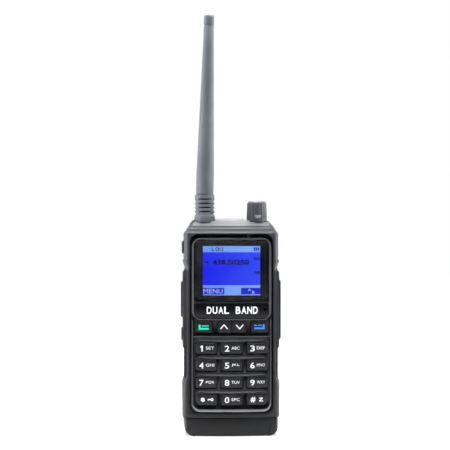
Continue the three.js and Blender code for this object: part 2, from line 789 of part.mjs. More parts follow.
function addBattery() {
  addPiece("battery_case", batteryShell(), "casePlastic");
  const padHoles = [-11, 11].map((x) => box([x - 3.3, 0, 83.7], [x + 3.3, 10, 91.3]));
  const cover = cut(
    prismY(roundedRect(-23.4, 12.7, 23.4, 93.6, 1.5), BATTERY_FRONT + GAP, 7.7),
    ...padHoles,
  );
  addPiece("battery_cover", cover, "casePlastic");
  ["left", "right"].forEach((side, index) => {
    const sign = index * 2 - 1;
    const middle = sign * 12;
    const plan = roundedRect(middle - 11.2, 8.1, middle + 11.2, 16, 2.6);
    addPiece(`battery_cell_${side}`, prismZ(plan, 14, 82), "cellWrap");
  });
  ["minus", "plus"].forEach((pole, index) => {
    const x = index * 22 - 11;
    addPiece(`battery_contact_${pole}`, box([x - 3, 5.7, 84], [x + 3, 7.6, 91]), "brass");
  });
}

// ---------- belt clip ----------

function clipArm() {
  // From the thumb pad down the outside, round the lip, and back up the inside.
  const arm = prismX(outline([
    [24.3, 121.5],
    [22.9, 119.6],
    [24.2, 116.4],
    [24.2, 56],
    [22.6, 50],
    [18.9, 44.6],
    [18.9, 42.6],
    [22.4, 37.2],
    [24.4, 37.6],
    [21.6, 43.6],
    [24.9, 48.6],
    [26.4, 55],
    [26.4, 118.6],
    [25.7, 120.8],
  ]), -CLIP_HALF_WIDTH, CLIP_HALF_WIDTH);
  const face = roundedRect(-CLIP_HALF_WIDTH, 37.2, CLIP_HALF_WIDTH, 121.5, [4, 4, 3, 3]);
  const barrel = prismX(round(CLIP_PIN_Y, CLIP_PIN_Z, 2.3, 20), -CLIP_HALF_WIDTH, CLIP_HALF_WIDTH);
  const springRoom = box([-3, 20.5, 110.3], [3, 25.7, 115.7]);
  return cut(
    join(common(arm, prismY(face, 15, 30)), barrel),
    prismX(round(CLIP_PIN_Y, CLIP_PIN_Z, 1.3, 16), -10, 10),
    springRoom,
  );
}

function clipBase() {
  const plate = prismY(roundedRect(-11, 104.3, 11, 116.4, 1.5), BODY_BACK + GAP, 20.8);
  const lugs = [-1, 1].map((side) => {
    const shape = outline([
      [20, 109.6],
      [23.4, 110.5],
      [25.7, 112],
      [25.7, 114],
      [23.4, 115.4],
      [20, 116.2],
    ]);
    const near = side * 8.1;
    const far = side * 10.8;
    return prismX(shape, Math.min(near, far), Math.max(near, far));
  });
  const screwHoles = [-7.5, 7.5].map((x) => prismY(round(x, 107.4, 1.5, 12), 15, 30));
  return cut(
    join(plate, ...lugs),
    prismX(round(CLIP_PIN_Y, CLIP_PIN_Z, 1.3, 16), -12, 12),
    ...screwHoles,
  );
}

function addBeltClip() {
  addPiece("belt_clip", clipArm(), "casePlastic");
  addPiece("clip_base", clipBase(), "steel");
  addPiece("clip_pin", prismX(round(CLIP_PIN_Y, CLIP_PIN_Z, 1, 12), -10.6, 10.6), "steel");
  const spring = cut(
    prismX(round(CLIP_PIN_Y, CLIP_PIN_Z, 2, 16), -2.7, 2.7),
    prismX(round(CLIP_PIN_Y, CLIP_PIN_Z, 1.3, 16), -4, 4),
  );
  addPiece("clip_spring", spring, "steel");
}

addFrontPieces();
addKeys();
addInnerPieces();
addVolumeControl();
addAntenna();
addSideControls();
addBackPieces();
addBattery();
addBeltClip();

export default radio;
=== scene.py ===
# %% [markdown]
# # A handheld two way radio
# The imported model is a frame: it says where every piece is and how it moves. This lesson gives
# each piece that shows its true shape and finish, with the tools a person uses in the viewport.
# Sizes are in millimetres and are taken from the frame's own boxes wherever one is known.

# %% Load the frame
import math
import bpy
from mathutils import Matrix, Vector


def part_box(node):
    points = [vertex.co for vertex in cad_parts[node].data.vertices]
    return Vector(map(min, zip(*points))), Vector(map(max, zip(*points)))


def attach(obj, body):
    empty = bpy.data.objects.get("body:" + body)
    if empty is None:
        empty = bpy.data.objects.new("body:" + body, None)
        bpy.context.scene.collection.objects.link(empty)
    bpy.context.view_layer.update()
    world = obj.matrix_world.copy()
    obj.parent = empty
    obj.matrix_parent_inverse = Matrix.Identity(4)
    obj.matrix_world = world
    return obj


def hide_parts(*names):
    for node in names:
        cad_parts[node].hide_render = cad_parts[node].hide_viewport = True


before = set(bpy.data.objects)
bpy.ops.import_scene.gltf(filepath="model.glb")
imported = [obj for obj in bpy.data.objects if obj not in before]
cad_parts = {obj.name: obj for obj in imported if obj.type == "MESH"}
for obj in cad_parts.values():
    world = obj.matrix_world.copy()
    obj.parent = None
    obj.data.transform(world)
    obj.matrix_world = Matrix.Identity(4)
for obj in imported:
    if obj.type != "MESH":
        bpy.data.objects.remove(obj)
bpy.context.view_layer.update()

MM = 0.001


def frame_box(node):
    """A CAD node's lowest and highest corners, in millimetres."""
    low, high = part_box(node)
    return [value / MM for value in low], [value / MM for value in high]


# %% [markdown]
# ## Camera, floor and light
# The radio is looked at from the front and a little from its left, level with its shoulders, from
# one metre away.
# A long lens from there keeps the front nearly flat. The room is white to the sides, above and
# behind, and darker behind the camera, so that dark plastic gets bright edges and a dark face.

# %% Place the camera
VIEW_DISTANCE = 1000
VIEW_WIDTH = 256
VIEW_MIDDLE = (-3.8, 120.3)
VIEW_TURN = math.radians(2.7)
case_low, case_high = frame_box("front_case")
bpy.ops.object.camera_add(
    location=(
        (VIEW_MIDDLE[0] - VIEW_DISTANCE * math.sin(VIEW_TURN)) * MM,
        (case_low[1] - VIEW_DISTANCE * math.cos(VIEW_TURN)) * MM,
        VIEW_MIDDLE[1] * MM,
    ),
    rotation=(math.pi / 2, 0, -VIEW_TURN),
)
camera = bpy.context.object
camera.data.sensor_width = 36
camera.data.lens = 36 * VIEW_DISTANCE / VIEW_WIDTH
bpy.context.scene.camera = camera
bpy.context.scene.view_settings.view_transform = "Standard"
print("lens:", round(camera.data.lens, 1), "mm")

# %% [markdown]
# The floor is a plain pale sheet. Behind the radio it is lit from below, like a light table, so
# that it runs into the white room without a horizon. In front it is only painted.

# %% Lay the floor
bpy.ops.mesh.primitive_plane_add(size=6, location=(0, 0, 0))
floor = bpy.context.object
floor.name = "floor"
floor_paint = bpy.data.materials.new("floor_paint")
floor_paint.use_nodes = True
paint = floor_paint.node_tree
paint_shader = paint.nodes["Principled BSDF"]
paint_shader.inputs["Roughness"].default_value = 0.9
paint_shader.inputs["Emission Color"].default_value = (1, 1, 1, 1)
spot = paint.nodes.new("ShaderNodeTexCoord")
spot_parts = paint.nodes.new("ShaderNodeSeparateXYZ")
lit = paint.nodes.new("ShaderNodeMapRange")
lit.inputs["From Min"].default_value = -0.03
lit.inputs["From Max"].default_value = 0.02
lit.inputs["To Max"].default_value = 0.75
tone = paint.nodes.new("ShaderNodeMapRange")
tone.inputs["From Min"].default_value = -0.09
tone.inputs["From Max"].default_value = -0.045
tone.inputs["To Min"].default_value = 0.5
tone.inputs["To Max"].default_value = 0.9
paint.links.new(spot_parts.outputs["Y"], tone.inputs["Value"])
paint.links.new(tone.outputs["Result"], paint_shader.inputs["Base Color"])
paint.links.new(spot.outputs["Object"], spot_parts.inputs["Vector"])
paint.links.new(spot_parts.outputs["Y"], lit.inputs["Value"])
paint.links.new(lit.outputs["Result"], paint_shader.inputs["Emission Strength"])
floor.data.materials.append(floor_paint)

# %% Light the room
world = bpy.data.worlds.new("studio")
bpy.context.scene.world = world
world.use_nodes = True
room = world.node_tree
room.nodes.clear()
direction = room.nodes.new("ShaderNodeTexCoord")
parts = room.nodes.new("ShaderNodeSeparateXYZ")
shade = room.nodes.new("ShaderNodeMapRange")
shade.inputs["From Min"].default_value = -0.15
shade.inputs["From Max"].default_value = 0.3
shade.inputs["To Min"].default_value = 0.02
shade.inputs["To Max"].default_value = 0.95
glow = room.nodes.new("ShaderNodeBackground")
glow.inputs["Color"].default_value = (0.9, 0.94, 1, 1)
plain = room.nodes.new("ShaderNodeBackground")
plain.inputs["Color"].default_value = (1, 1, 1, 1)
ray = room.nodes.new("ShaderNodeLightPath")
either = room.nodes.new("ShaderNodeMixShader")
room_out = room.nodes.new("ShaderNodeOutputWorld")
room.links.new(direction.outputs["Generated"], parts.inputs["Vector"])
room.links.new(parts.outputs["Y"], shade.inputs["Value"])
room.links.new(shade.outputs["Result"], glow.inputs["Strength"])
room.links.new(ray.outputs["Is Camera Ray"], either.inputs["Fac"])
room.links.new(glow.outputs["Background"], either.inputs[1])
room.links.new(plain.outputs["Background"], either.inputs[2])
room.links.new(either.outputs["Shader"], room_out.inputs["Surface"])


def soft_box(name, place, target, size, power):
    """A square area light that faces a point. Places are in millimetres."""
    bpy.ops.object.light_add(type="AREA", location=[value * MM for value in place])
    lamp = bpy.context.object
    lamp.name = name
    lamp.data.size = size * MM
    lamp.data.energy = power
    aim = [(b - a) for a, b in zip(place, target)]
    flat = math.hypot(aim[0], aim[1])
    lamp.rotation_euler = (math.pi / 2 + math.atan2(aim[2], flat), 0, math.atan2(-aim[0], aim[1]))
    return lamp


soft_box("top_light", (0, 50, 440), (0, 0, 120), 240, 3.6)
soft_box("front_light", (0, -240, 620), (0, -17, 90), 200, 1.3)
soft_box("left_light", (-520, -20, 150), (0, 0, 100), 260, 1.9)
soft_box("right_light", (520, -20, 150), (0, 0, 100), 260, 1.9)

# %% [markdown]
# ## Modelling tools
# Every piece starts as a primitive at its real size and place. Boxes get round edges with the
# bevel tool, and openings are cut with a tool shape and a Boolean, as a milling cutter would.
# The place goes into the mesh at once, so each finished object sits at the origin.


# %% Start shapes
def pick(piece):
    """Make one piece the only selected and the active object, in object mode."""
    if bpy.context.object and bpy.context.object.mode != "OBJECT":
        bpy.ops.object.mode_set(mode="OBJECT")
    bpy.ops.object.select_all(action="DESELECT")
    piece.select_set(True)
    bpy.context.view_layer.objects.active = piece


def settle(name):
    """Name the new object and move its place, turn and size into its mesh."""
    piece = bpy.context.object
    bpy.ops.object.transform_apply(location=True, rotation=True, scale=True)
    piece.name = name
    piece.data.name = name
    return piece


def block(name, low, high):
    """A box between two corners."""
    bpy.ops.object.select_all(action="DESELECT")
    middle = [(a + b) / 2 * MM for a, b in zip(low, high)]
    size = [(b - a) * MM for a, b in zip(low, high)]
    bpy.ops.mesh.primitive_cube_add(size=1, location=middle, scale=size)
    return settle(name)


AXIS_TURN = {"X": (0, math.pi / 2, 0), "Y": (math.pi / 2, 0, 0), "Z": (0, 0, 0)}


def rod(name, axis, centre, radius, low, high, sides=64):
    """A cylinder along an axis; centre holds the other two coordinates, in X, Y, Z order."""
    bpy.ops.object.select_all(action="DESELECT")
    place = list(centre)
    place.insert("XYZ".index(axis), (low + high) / 2)
    bpy.ops.mesh.primitive_cylinder_add(
        vertices=sides, radius=radius * MM, depth=(high - low) * MM,
        location=[value * MM for value in place], rotation=AXIS_TURN[axis],
    )
    return settle(name)


def ball(name, centre, radii, segments=48):
    """An ellipsoid about a centre."""
    bpy.ops.object.select_all(action="DESELECT")
    bpy.ops.mesh.primitive_uv_sphere_add(
        segments=segments, ring_count=segments // 2, radius=1,
        location=[value * MM for value in centre], scale=[value * MM for value in radii],
    )
    return settle(name)


# %% Cut, join and soften
def combine(piece, tool, operation):
    """Join, cut or keep the common part, then throw the tool away."""
    pick(piece)
    modifier = piece.modifiers.new("Combine", "BOOLEAN")
    modifier.operation = operation
    modifier.solver = "EXACT"
    modifier.object = tool
    bpy.ops.object.modifier_apply(modifier=modifier.name)
    bpy.data.objects.remove(tool)
    return piece


def cut(piece, *tools):
    for tool in tools:
        combine(piece, tool, "DIFFERENCE")
    return piece


def join(piece, *tools):
    for tool in tools:
        combine(piece, tool, "UNION")
    return piece


def soften(piece, width, segments=2, angle=30):
    """Round every edge that is sharper than the angle."""
    pick(piece)
    modifier = piece.modifiers.new("Soften", "BEVEL")
    modifier.width = width * MM
    modifier.segments = segments
    modifier.limit_method = "ANGLE"
    modifier.angle_limit = math.radians(angle)
    bpy.ops.object.modifier_apply(modifier=modifier.name)
    return piece


def clean(piece, angle=0.2):
    """Weld doubles and dissolve needless edges on flat faces."""
    pick(piece)
    bpy.ops.object.mode_set(mode="EDIT")
    bpy.ops.mesh.select_all(action="SELECT")
    bpy.ops.mesh.remove_doubles(threshold=0.01 * MM)
    bpy.ops.mesh.dissolve_limited(angle_limit=math.radians(angle))
    bpy.ops.object.mode_set(mode="OBJECT")
    return piece


# %% Select in code
def grab(piece, kind, wanted):
    """Enter edit mode with the vertices, edges or faces selected whose corners pass the test."""
    pick(piece)
    bpy.ops.object.mode_set(mode="EDIT")
    bpy.ops.mesh.select_mode(type=kind)
    bpy.ops.mesh.select_all(action="DESELECT")
    bpy.ops.object.mode_set(mode="OBJECT")
    mesh = piece.data
    points = [vertex.co / MM for vertex in mesh.vertices]
    if kind == "VERT":
        for vertex in mesh.vertices:
            vertex.select = wanted(points[vertex.index])
    else:
        for element in mesh.edges if kind == "EDGE" else mesh.polygons:
            element.select = wanted([points[index] for index in element.vertices])
    bpy.ops.object.mode_set(mode="EDIT")


def round_edges(piece, wanted, radius, segments=6):
    """Round the edges whose two ends pass the test."""
    grab(piece, "EDGE", wanted)
    bpy.ops.mesh.bevel(offset=radius * MM, segments=segments, affect="EDGES")
    bpy.ops.object.mode_set(mode="OBJECT")
    return piece


def along(axis):
    """A test for edges that run along an axis."""
    number = "XYZ".index(axis)

    def runs(ends):
        step = ends[1] - ends[0]
        return abs(step[number]) > 0.99 * step.length
    return runs


def rounded_block(name, axis, low, high, radius, segments=6):
    """A box whose four edges along an axis are round."""
    return round_edges(block(name, low, high), along(axis), radius, segments)


# %% Follow the crown
CROWN_RADIUS = 147


def crown(level, low=-20, high=150):
    """The body behind a crowned front whose middle is at this Y."""
    return rod("crown", "Z", (0, level + CROWN_RADIUS), CROWN_RADIUS, low, high, 360)


def crown_fall(x):
    """How far the crown has fallen back at this distance from the middle."""
    return CROWN_RADIUS - math.sqrt(CROWN_RADIUS ** 2 - x ** 2)


def crowned(piece, front, back=None):
    """Trim a piece to a crowned front and, if asked, to a crowned back."""
    combine(piece, crown(front), "INTERSECT")
    if back is not None:
        cut(piece, crown(back))
    return piece


def groove_tool(name, low, high, radius, floor):
    """A cutter for a round cornered pocket whose floor follows the crown."""
    return cut(rounded_block(name, "Y", low, high, radius, 8), crown(floor))


# %% Hand a piece over
def hand_over(piece, body, finish, slot, *nodes, angle=35):
    """Give a finished piece its material and its body, and hide the CAD nodes that it stands for."""
    pick(piece)
    bpy.ops.object.shade_smooth_by_angle(angle=math.radians(angle))
    piece.data.materials.clear()
    piece.data.materials.append(finish)
    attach(piece, body)
    if nodes:
        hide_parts(*nodes)
    print(piece.name, len(piece.data.polygons), "faces, rides on", body)
    return piece


# %% [markdown]
# ## Finishes
# One builder lays a fine grain over a colour: a noise at the grain's size drives a bump and a
# little roughness, and a slow noise shifts the colour as handling and moulding do. Each finish
# below is that builder with the numbers of one real material.


# %% The grain builder
def surface(name, colour, roughness, grain=0.3, depth=0.02, shift=0.15, metallic=0.0, patch=14.0,
            spread=0.08, glow=0.0):
    """A grained material. grain, depth and patch are lengths in millimetres; glow is a painted glow."""
    material = bpy.data.materials.new(name)
    material.use_nodes = True
    tree = material.node_tree
    shader = tree.nodes["Principled BSDF"]
    shader.inputs["Metallic"].default_value = metallic
    place = tree.nodes.new("ShaderNodeTexCoord")

    fine = tree.nodes.new("ShaderNodeTexNoise")
    fine.inputs["Scale"].default_value = 1 / (grain * MM)
    fine.inputs["Detail"].default_value = 3
    tree.links.new(place.outputs["Object"], fine.inputs["Vector"])
    broad = tree.nodes.new("ShaderNodeTexNoise")
    broad.inputs["Scale"].default_value = 1 / (patch * MM)
    broad.inputs["Detail"].default_value = 5
    tree.links.new(place.outputs["Object"], broad.inputs["Vector"])

    tint = tree.nodes.new("ShaderNodeValToRGB")
    tint.color_ramp.elements[0].position = 0.3
    tint.color_ramp.elements[1].position = 0.7
    tint.color_ramp.elements[0].color = [value * (1 - shift) for value in colour] + [1]
    tint.color_ramp.elements[1].color = [min(1, value * (1 + shift)) for value in colour] + [1]
    tree.links.new(broad.outputs["Fac"], tint.inputs["Fac"])
    tree.links.new(tint.outputs["Color"], shader.inputs["Base Color"])
    if glow:
        tree.links.new(tint.outputs["Color"], shader.inputs["Emission Color"])
        shader.inputs["Emission Strength"].default_value = glow

    rough = tree.nodes.new("ShaderNodeMapRange")
    rough.inputs["From Min"].default_value = 0.3
    rough.inputs["From Max"].default_value = 0.7
    rough.inputs["To Min"].default_value = max(0.02, roughness - spread)
    rough.inputs["To Max"].default_value = min(1, roughness + spread)
    both = tree.nodes.new("ShaderNodeMath")
    both.operation = "ADD"
    half = tree.nodes.new("ShaderNodeMath")
    half.operation = "MULTIPLY"
    half.inputs[1].default_value = 0.5
    tree.links.new(fine.outputs["Fac"], both.inputs[0])
    tree.links.new(broad.outputs["Fac"], both.inputs[1])
    tree.links.new(both.outputs["Value"], half.inputs[0])
    tree.links.new(half.outputs["Value"], rough.inputs["Value"])
    tree.links.new(rough.outputs["Result"], shader.inputs["Roughness"])

    bump = tree.nodes.new("ShaderNodeBump")
    bump.inputs["Strength"].default_value = 0.6
    bump.inputs["Distance"].default_value = depth * MM
    tree.links.new(fine.outputs["Fac"], bump.inputs["Height"])
    tree.links.new(bump.outputs["Normal"], shader.inputs["Normal"])
    return material


# %% Plastics and rubbers
def paint_light_by_height(material, low, high, foot_scale):
    """Scale a finish's colour by height, from a factor at the low height to its own colour at the high height: painted
    shade where the factor darkens, painted highlight where it brightens.
    """
    tree = material.node_tree
    shader = tree.nodes["Principled BSDF"]
    colour = shader.inputs["Base Color"].links[0].from_socket
    place = tree.nodes.new("ShaderNodeTexCoord")
    parts = tree.nodes.new("ShaderNodeSeparateXYZ")
    height = tree.nodes.new("ShaderNodeMapRange")
    height.inputs["From Min"].default_value = low * MM
    height.inputs["From Max"].default_value = high * MM
    height.inputs["To Min"].default_value = foot_scale
    scale = tree.nodes.new("ShaderNodeVectorMath")
    scale.operation = "SCALE"
    tree.links.new(place.outputs["Object"], parts.inputs["Vector"])
    tree.links.new(parts.outputs["Z"], height.inputs["Value"])
    tree.links.new(colour, scale.inputs["Vector"])
    tree.links.new(height.outputs["Result"], scale.inputs["Scale"])
    tree.links.new(scale.outputs["Vector"], shader.inputs["Base Color"])
    return material


case_plastic = surface("case_plastic", (0.058, 0.06, 0.071), 0.5, grain=0.28, depth=0.05)
# The case finish is painted darker towards its foot, down to 0.12 of its colour at 12 mm, as painted shade.
paint_light_by_height(case_plastic, 12, 112, 0.12)
panel_plastic = surface("panel_plastic", (0.005, 0.005, 0.0065), 0.28, grain=0.2, depth=0.012)
key_rubber = surface("key_rubber", (0.011, 0.011, 0.0145), 0.5, grain=0.22, depth=0.02)
antenna_rubber = surface("antenna_rubber", (0.16, 0.172, 0.19), 0.6, grain=0.25, depth=0.03, patch=22)
knob_plastic = surface("knob_plastic", (0.095, 0.098, 0.112), 0.5, grain=0.25, depth=0.03)
cover_rubber = surface("cover_rubber", (0.024, 0.025, 0.028), 0.68, grain=0.3, depth=0.03)
print("finishes so far:", len(bpy.data.materials))

# %% [markdown]
# ## Front case
# The case is one moulding: a box with a crowned front, a waist for the hand, and shoulders that
# step back to the top. It is made from one cube. The crown is cut first, then the two front
# corners are rounded, then level cuts are widened or narrowed, and the top face is drawn up in
# steps, as a stepped mould would leave it.

# %% The crowned box
half_width = case_high[0]
case_back = case_high[1]
shoulder = 115.6
case = block("case_shell", (-half_width, case_low[1], case_low[2]), (half_width, case_back, shoulder))
crowned(case, case_low[1])
clean(case)


def front_corner(ends):
    return all(abs(point.x) > half_width - 0.1 and point.y < -10 for point in ends)


def back_corner(ends):
    return all(abs(point.x) > half_width - 0.1 and point.y > case_back - 0.1 for point in ends) and along("Z")(ends)


round_edges(case, front_corner, 4.2, 8)
round_edges(case, back_corner, 0.5, 3)

# %% The waist
WAIST = [
    (30.5, 27.9), (33.5, 26.9), (49.5, 26.9), (50.6, 27.6), (93.3, 27.6),
    (94.8, 26.5), (96.4, 26.5), (99.7, 27.6), (100.8, 26.95), (102.5, 27.05),
]
for height, reach in WAIST:
    pick(case)
    bpy.ops.object.mode_set(mode="EDIT")
    bpy.ops.mesh.select_all(action="SELECT")
    bpy.ops.mesh.bisect(plane_co=(0, 0, height * MM), plane_no=(0, 0, 1))
    bpy.ops.object.mode_set(mode="OBJECT")
for height, reach in WAIST + [(shoulder, 27.0)]:
    grab(case, "VERT", lambda point: abs(point.z - height) < 0.05)
    bpy.ops.transform.resize(value=(reach / half_width, 1, 1), center_override=(0, 0, height * MM))
    bpy.ops.object.mode_set(mode="OBJECT")

# %% The stepped shoulders
STEPS = [
    (117.1, 25.7, -15.2), (118.3, 25.2, -14.9), (118.9, 24.6, -14.2),
    (119.6, 24.3, -14.1), (121.2, 22.9, -12.3), (122.9, 21.2, -11.0),
]
reach, front, level = 27.0, case_low[1], shoulder
for height, next_reach, next_front in STEPS:
    grab(case, "FACE", lambda points: all(abs(point.z - level) < 0.05 for point in points))
    bpy.ops.mesh.extrude_region_move(TRANSFORM_OT_translate={"value": (0, 0, (height - level) * MM)})
    bpy.ops.transform.resize(
        value=(next_reach / reach, (case_back - next_front) / (case_back - front), 1),
        center_override=(0, case_back * MM, height * MM),
    )
    bpy.ops.object.mode_set(mode="OBJECT")
    reach, front, level = next_reach, next_front, height

# %% The plateau, the antenna boss and the scoops
socket_low, socket_high = frame_box("antenna_socket")
knob_low, knob_high = frame_box("volume_knob")
antenna_x = (socket_low[0] + socket_high[0]) / 2
top_y = (socket_low[1] + socket_high[1]) / 2
knob_x = (knob_low[0] + knob_high[0]) / 2

plateau = block("plateau", (-9.6, -9.0, 122.5), (9.2, 2.2, case_high[2]))
grab(plateau, "VERT", lambda point: point.z > 123.9)
bpy.ops.transform.resize(value=(0.8, 0.84, 1), center_override=(-0.4 * MM, 1.0 * MM, 0))
bpy.ops.object.mode_set(mode="OBJECT")
boss = rod("boss", "Z", (antenna_x, top_y), 9.0, 120.6, 123.2, 96)
grab(boss, "VERT", lambda point: point.z > 123.1)
bpy.ops.transform.resize(value=(0.77, 0.77, 1), center_override=(antenna_x * MM, top_y * MM, 0))
bpy.ops.object.mode_set(mode="OBJECT")
cut(boss, block("boss_front", (-40, -30, 110), (0, top_y - 3.5, 130)))
bpy.ops.object.mode_set(mode="OBJECT")
join(case, plateau, boss)
for side in (-1, 1):
    near, far = sorted((side * 25.4, side * 31))
    scoop = rounded_block("scoop", "Y", (near, -22, 32.2), (far, -10.6, 96.4), 2.6, 6)
    cut(case, scoop)

# %% The recess, the openings and the hollow
panel_low, panel_high = frame_box("front_panel")
recess_low = (panel_low[0] - 0.3, -25, panel_low[2] - 0.3)
recess_high = (panel_high[0] + 0.3, -5, panel_high[2] + 0.3)
cut(case, groove_tool("recess", recess_low, recess_high, 4.7, -13.6))
cut(case, rounded_block("window", "Y", (-21.6, -25, 15.5), (21.6, -8, 110.5), 3))

hollow = block("hollow", (-24.2, -14, case_low[2] + 2.2), (24.2, case_back + 2, 119.8))
round_edges(hollow, lambda ends: all(point.z > 119 for point in ends) and along("Y")(ends), 5, 5)
cut(case, crowned(hollow, -12.4))
lamp_low, lamp_high = frame_box("status_led")
lamp_x = (lamp_low[0] + lamp_high[0]) / 2
lamp_z = (lamp_low[2] + lamp_high[2]) / 2
cut(
    case,
    rod("lamp_hole", "Y", (lamp_x, lamp_z), 1.1, -20, -10, 24),
    rod("socket_hole", "Z", (antenna_x, top_y), 3.4, 110, 130),
    rod("antenna_dish", "Z", (antenna_x, top_y), 6.5, 121.7, 130, 96),
    rod("shaft_hole", "Z", (knob_x, top_y), 4.1, 110, 130),
    rod("knob_dish", "Z", (knob_x, top_y), 6.9, 121.9, 130, 96),
)
GAP = 0.3
for key in ("ptt_button", "side_key_lower", "side_key_upper"):
    low, high = frame_box(key)
    low = (-31, low[1] - GAP, low[2] - GAP)
    high = (-23, high[1] + GAP, high[2] + GAP)
    cut(case, rounded_block("side_hole", "X", low, high, 2.0, 5))
cover_low, cover_high = frame_box("jack_cover")
cut(case, rounded_block(
    "cover_seat", "X",
    (26.7, cover_low[1] - GAP, cover_low[2] - GAP), (31, cover_high[1] + GAP, cover_high[2] + GAP), 2.0, 5,
))
for jack in ("speaker_jack", "mic_jack"):
    low, high = frame_box(jack)
    middle = ((low[1] + high[1]) / 2, (low[2] + high[2]) / 2)
    cut(case, rod("jack_hole", "X", middle, 2.4, 22, 32, 32))
clean(case)
soften(case, 0.28, 2, 32)
hand_over(case, "radio", case_plastic, "case_plastic", "front_case")

# %% [markdown]
# ## Front panel
# A gloss black insert. It is a thin crowned plate with a raised face that sits in the recess. The
# raised face is milled down in four pockets, so a thin rim is left round the display, the nameplate,
# the function keys and the number keys. Thin trims on these rims are painted a lighter grey than
# the black plate, as a painted sheen. Between the key rows the sound gets out through slots that
# are straight above and bowed below, each with a fine lip.

# %% The plate and its pockets
panel = rounded_block("panel_plate", "Y", (-23.6, -25, 13.4), (23.6, -8, 114.9), 4.6, 8)
crowned(panel, -15.4, -13.9)
raised = rounded_block("raised", "Y", (-22.5, -25, 14.0), (22.5, -8, 112.7), 4.8, 8)
join(panel, crowned(raised, -17.1, -14.6))
POCKETS = [
    ((-21.4, -25, 77.3), (21.4, -10, 112.0), 2.4, -14.9),
    ((-21.7, -25, 67.0), (21.7, -10, 75.8), 2.2, -16.3),
    ((-21.4, -25, 57.8), (21.4, -10, 65.9), 1.6, -16.7),
    ((-21.4, -25, 15.8), (21.4, -10, 56.1), 3.4, -16.7),
]
for low, high, radius, pocket_floor in POCKETS:
    cut(panel, groove_tool("pocket", low, high, radius, pocket_floor))
cut(panel, block("window", (-17.3, -25, 79.2), (17.3, -5, 109.3)))

# %% The trim round the display, round the keys, and the bar between the keys
display_trim = rounded_block("display_trim", "Y", (-22.55, -25, 66.3), (22.55, -8, 112.8), 4.8, 8)
cut(display_trim, rounded_block("inside", "Y", (-21.45, -30, 66.8), (21.45, 0, 112.15), 3.6, 8))
key_trim = rounded_block("key_trim", "Y", (-22.55, -25, 13.9), (22.55, -8, 80), 4.8, 8)
cut(key_trim, rounded_block("inside", "Y", (-22.1, -30, 15.3), (22.1, 0, 90), 4.2, 8))
cut(key_trim, block("above", (-30, -30, 66.2), (30, 0, 90)))
for trim, edge in ((display_trim, 0.3), (key_trim, 0.14)):
    crowned(clean(trim), -17.25, -16.3)
    soften(clean(trim), edge, 3, 50)
bar = crowned(block("bar", (-22, -25, 56.5), (22, -8, 57.1)), -17.2, -16.5)
join(key_trim, clean(bar))

# %% Key holes, microphone hole and lamp hole
NUMBER_KEYS = [f"key_{place}" for place in (1, 2, 3, 4, 5, 6, 7, 8, 9, "star", 0, "hash")]
FUNCTION_KEYS = ["key_menu", "key_up", "key_down", "key_exit"]
for key in NUMBER_KEYS + FUNCTION_KEYS:
    low, high = frame_box(key)
    low = (low[0] - GAP, -25, low[2] - GAP)
    high = (high[0] + GAP, -8, high[2] + GAP)
    cut(panel, rounded_block("key_hole", "Y", low, high, 1.2, 3))
cut(
    panel,
    rod("sound_hole", "Y", (19, 72.2), 0.9, -25, -8, 24),
    rod("lamp_hole", "Y", (lamp_x, lamp_z), 1.1, -25, -8, 24),
)

# %% Sound slots with lips
SLOT_REACH = 19
SLOT_SAG = 0.75
slot_radius = (SLOT_REACH ** 2 + SLOT_SAG ** 2) / (2 * SLOT_SAG)
for top in (55.2, 45.35, 35.55, 25.85):
    middle = top - SLOT_SAG + slot_radius
    lip = rod("lip", "Y", (0, middle - 0.42), slot_radius + 0.12, -25, -15, 360)
    combine(lip, block("lip_span", (-SLOT_REACH, -30, top - 2), (SLOT_REACH, -10, top - 0.02)), "INTERSECT")
    crowned(clean(lip), -17.2, -16)
    join(key_trim, soften(clean(lip), 0.12, 2, 50))
    slot = rod("slot", "Y", (0, middle), slot_radius, -25, -10, 360)
    combine(slot, block("slot_span", (-SLOT_REACH, -30, top - 2), (SLOT_REACH, -5, top)), "INTERSECT")
    cut(panel, cut(clean(slot), crown(-15.4)))
    print("slot at", top, "front of the panel:", round(min(v.co.y for v in panel.data.vertices) / MM, 2))
clean(panel)
soften(panel, 0.14, 2, 50)
hand_over(panel, "radio", panel_plastic, "panel_plastic", "front_panel")
# The trims are painted a light grey, many times lighter than the black panel, as a painted sheen on the glossy rims,
# lips and bar.
display_trim_painted_sheen = surface("display_trim_painted_sheen", (0.115, 0.118, 0.125), 0.3, grain=0.2, depth=0.004)
key_trim_painted_sheen = surface("key_trim_painted_sheen", (0.095, 0.096, 0.102), 0.22, grain=0.2, depth=0.004)
# The key trim is painted about three times lighter below 15 mm, fading out by 19 mm, as a painted highlight along the
# bottom lip.
paint_light_by_height(key_trim_painted_sheen, 15, 19, 2.9)
hand_over(display_trim, "radio", display_trim_painted_sheen, None)
hand_over(key_trim, "radio", key_trim_painted_sheen, None)

# %% [markdown]
# ## Display
# The window is a crowned sheet of clear acrylic with a black mask printed behind it. The display
# behind is lit: a face sheet carries the colours, and thin sheets over it carry the bars, the
# boxes and the figures. The figures are plain numbers and words that any radio could show.

# %% Display finishes
lens_glass = surface("glass", (0.9, 0.92, 0.95), 0.05, grain=2, depth=0.002, shift=0.02, spread=0.02)
lens_glass.node_tree.nodes["Principled BSDF"].inputs["Transmission Weight"].default_value = 1
lens_glass.node_tree.nodes["Principled BSDF"].inputs["IOR"].default_value = 1.3
mask_ink = surface("mask_ink", (0.004, 0.004, 0.005), 0.35, grain=0.15, depth=0.003, shift=0.2)


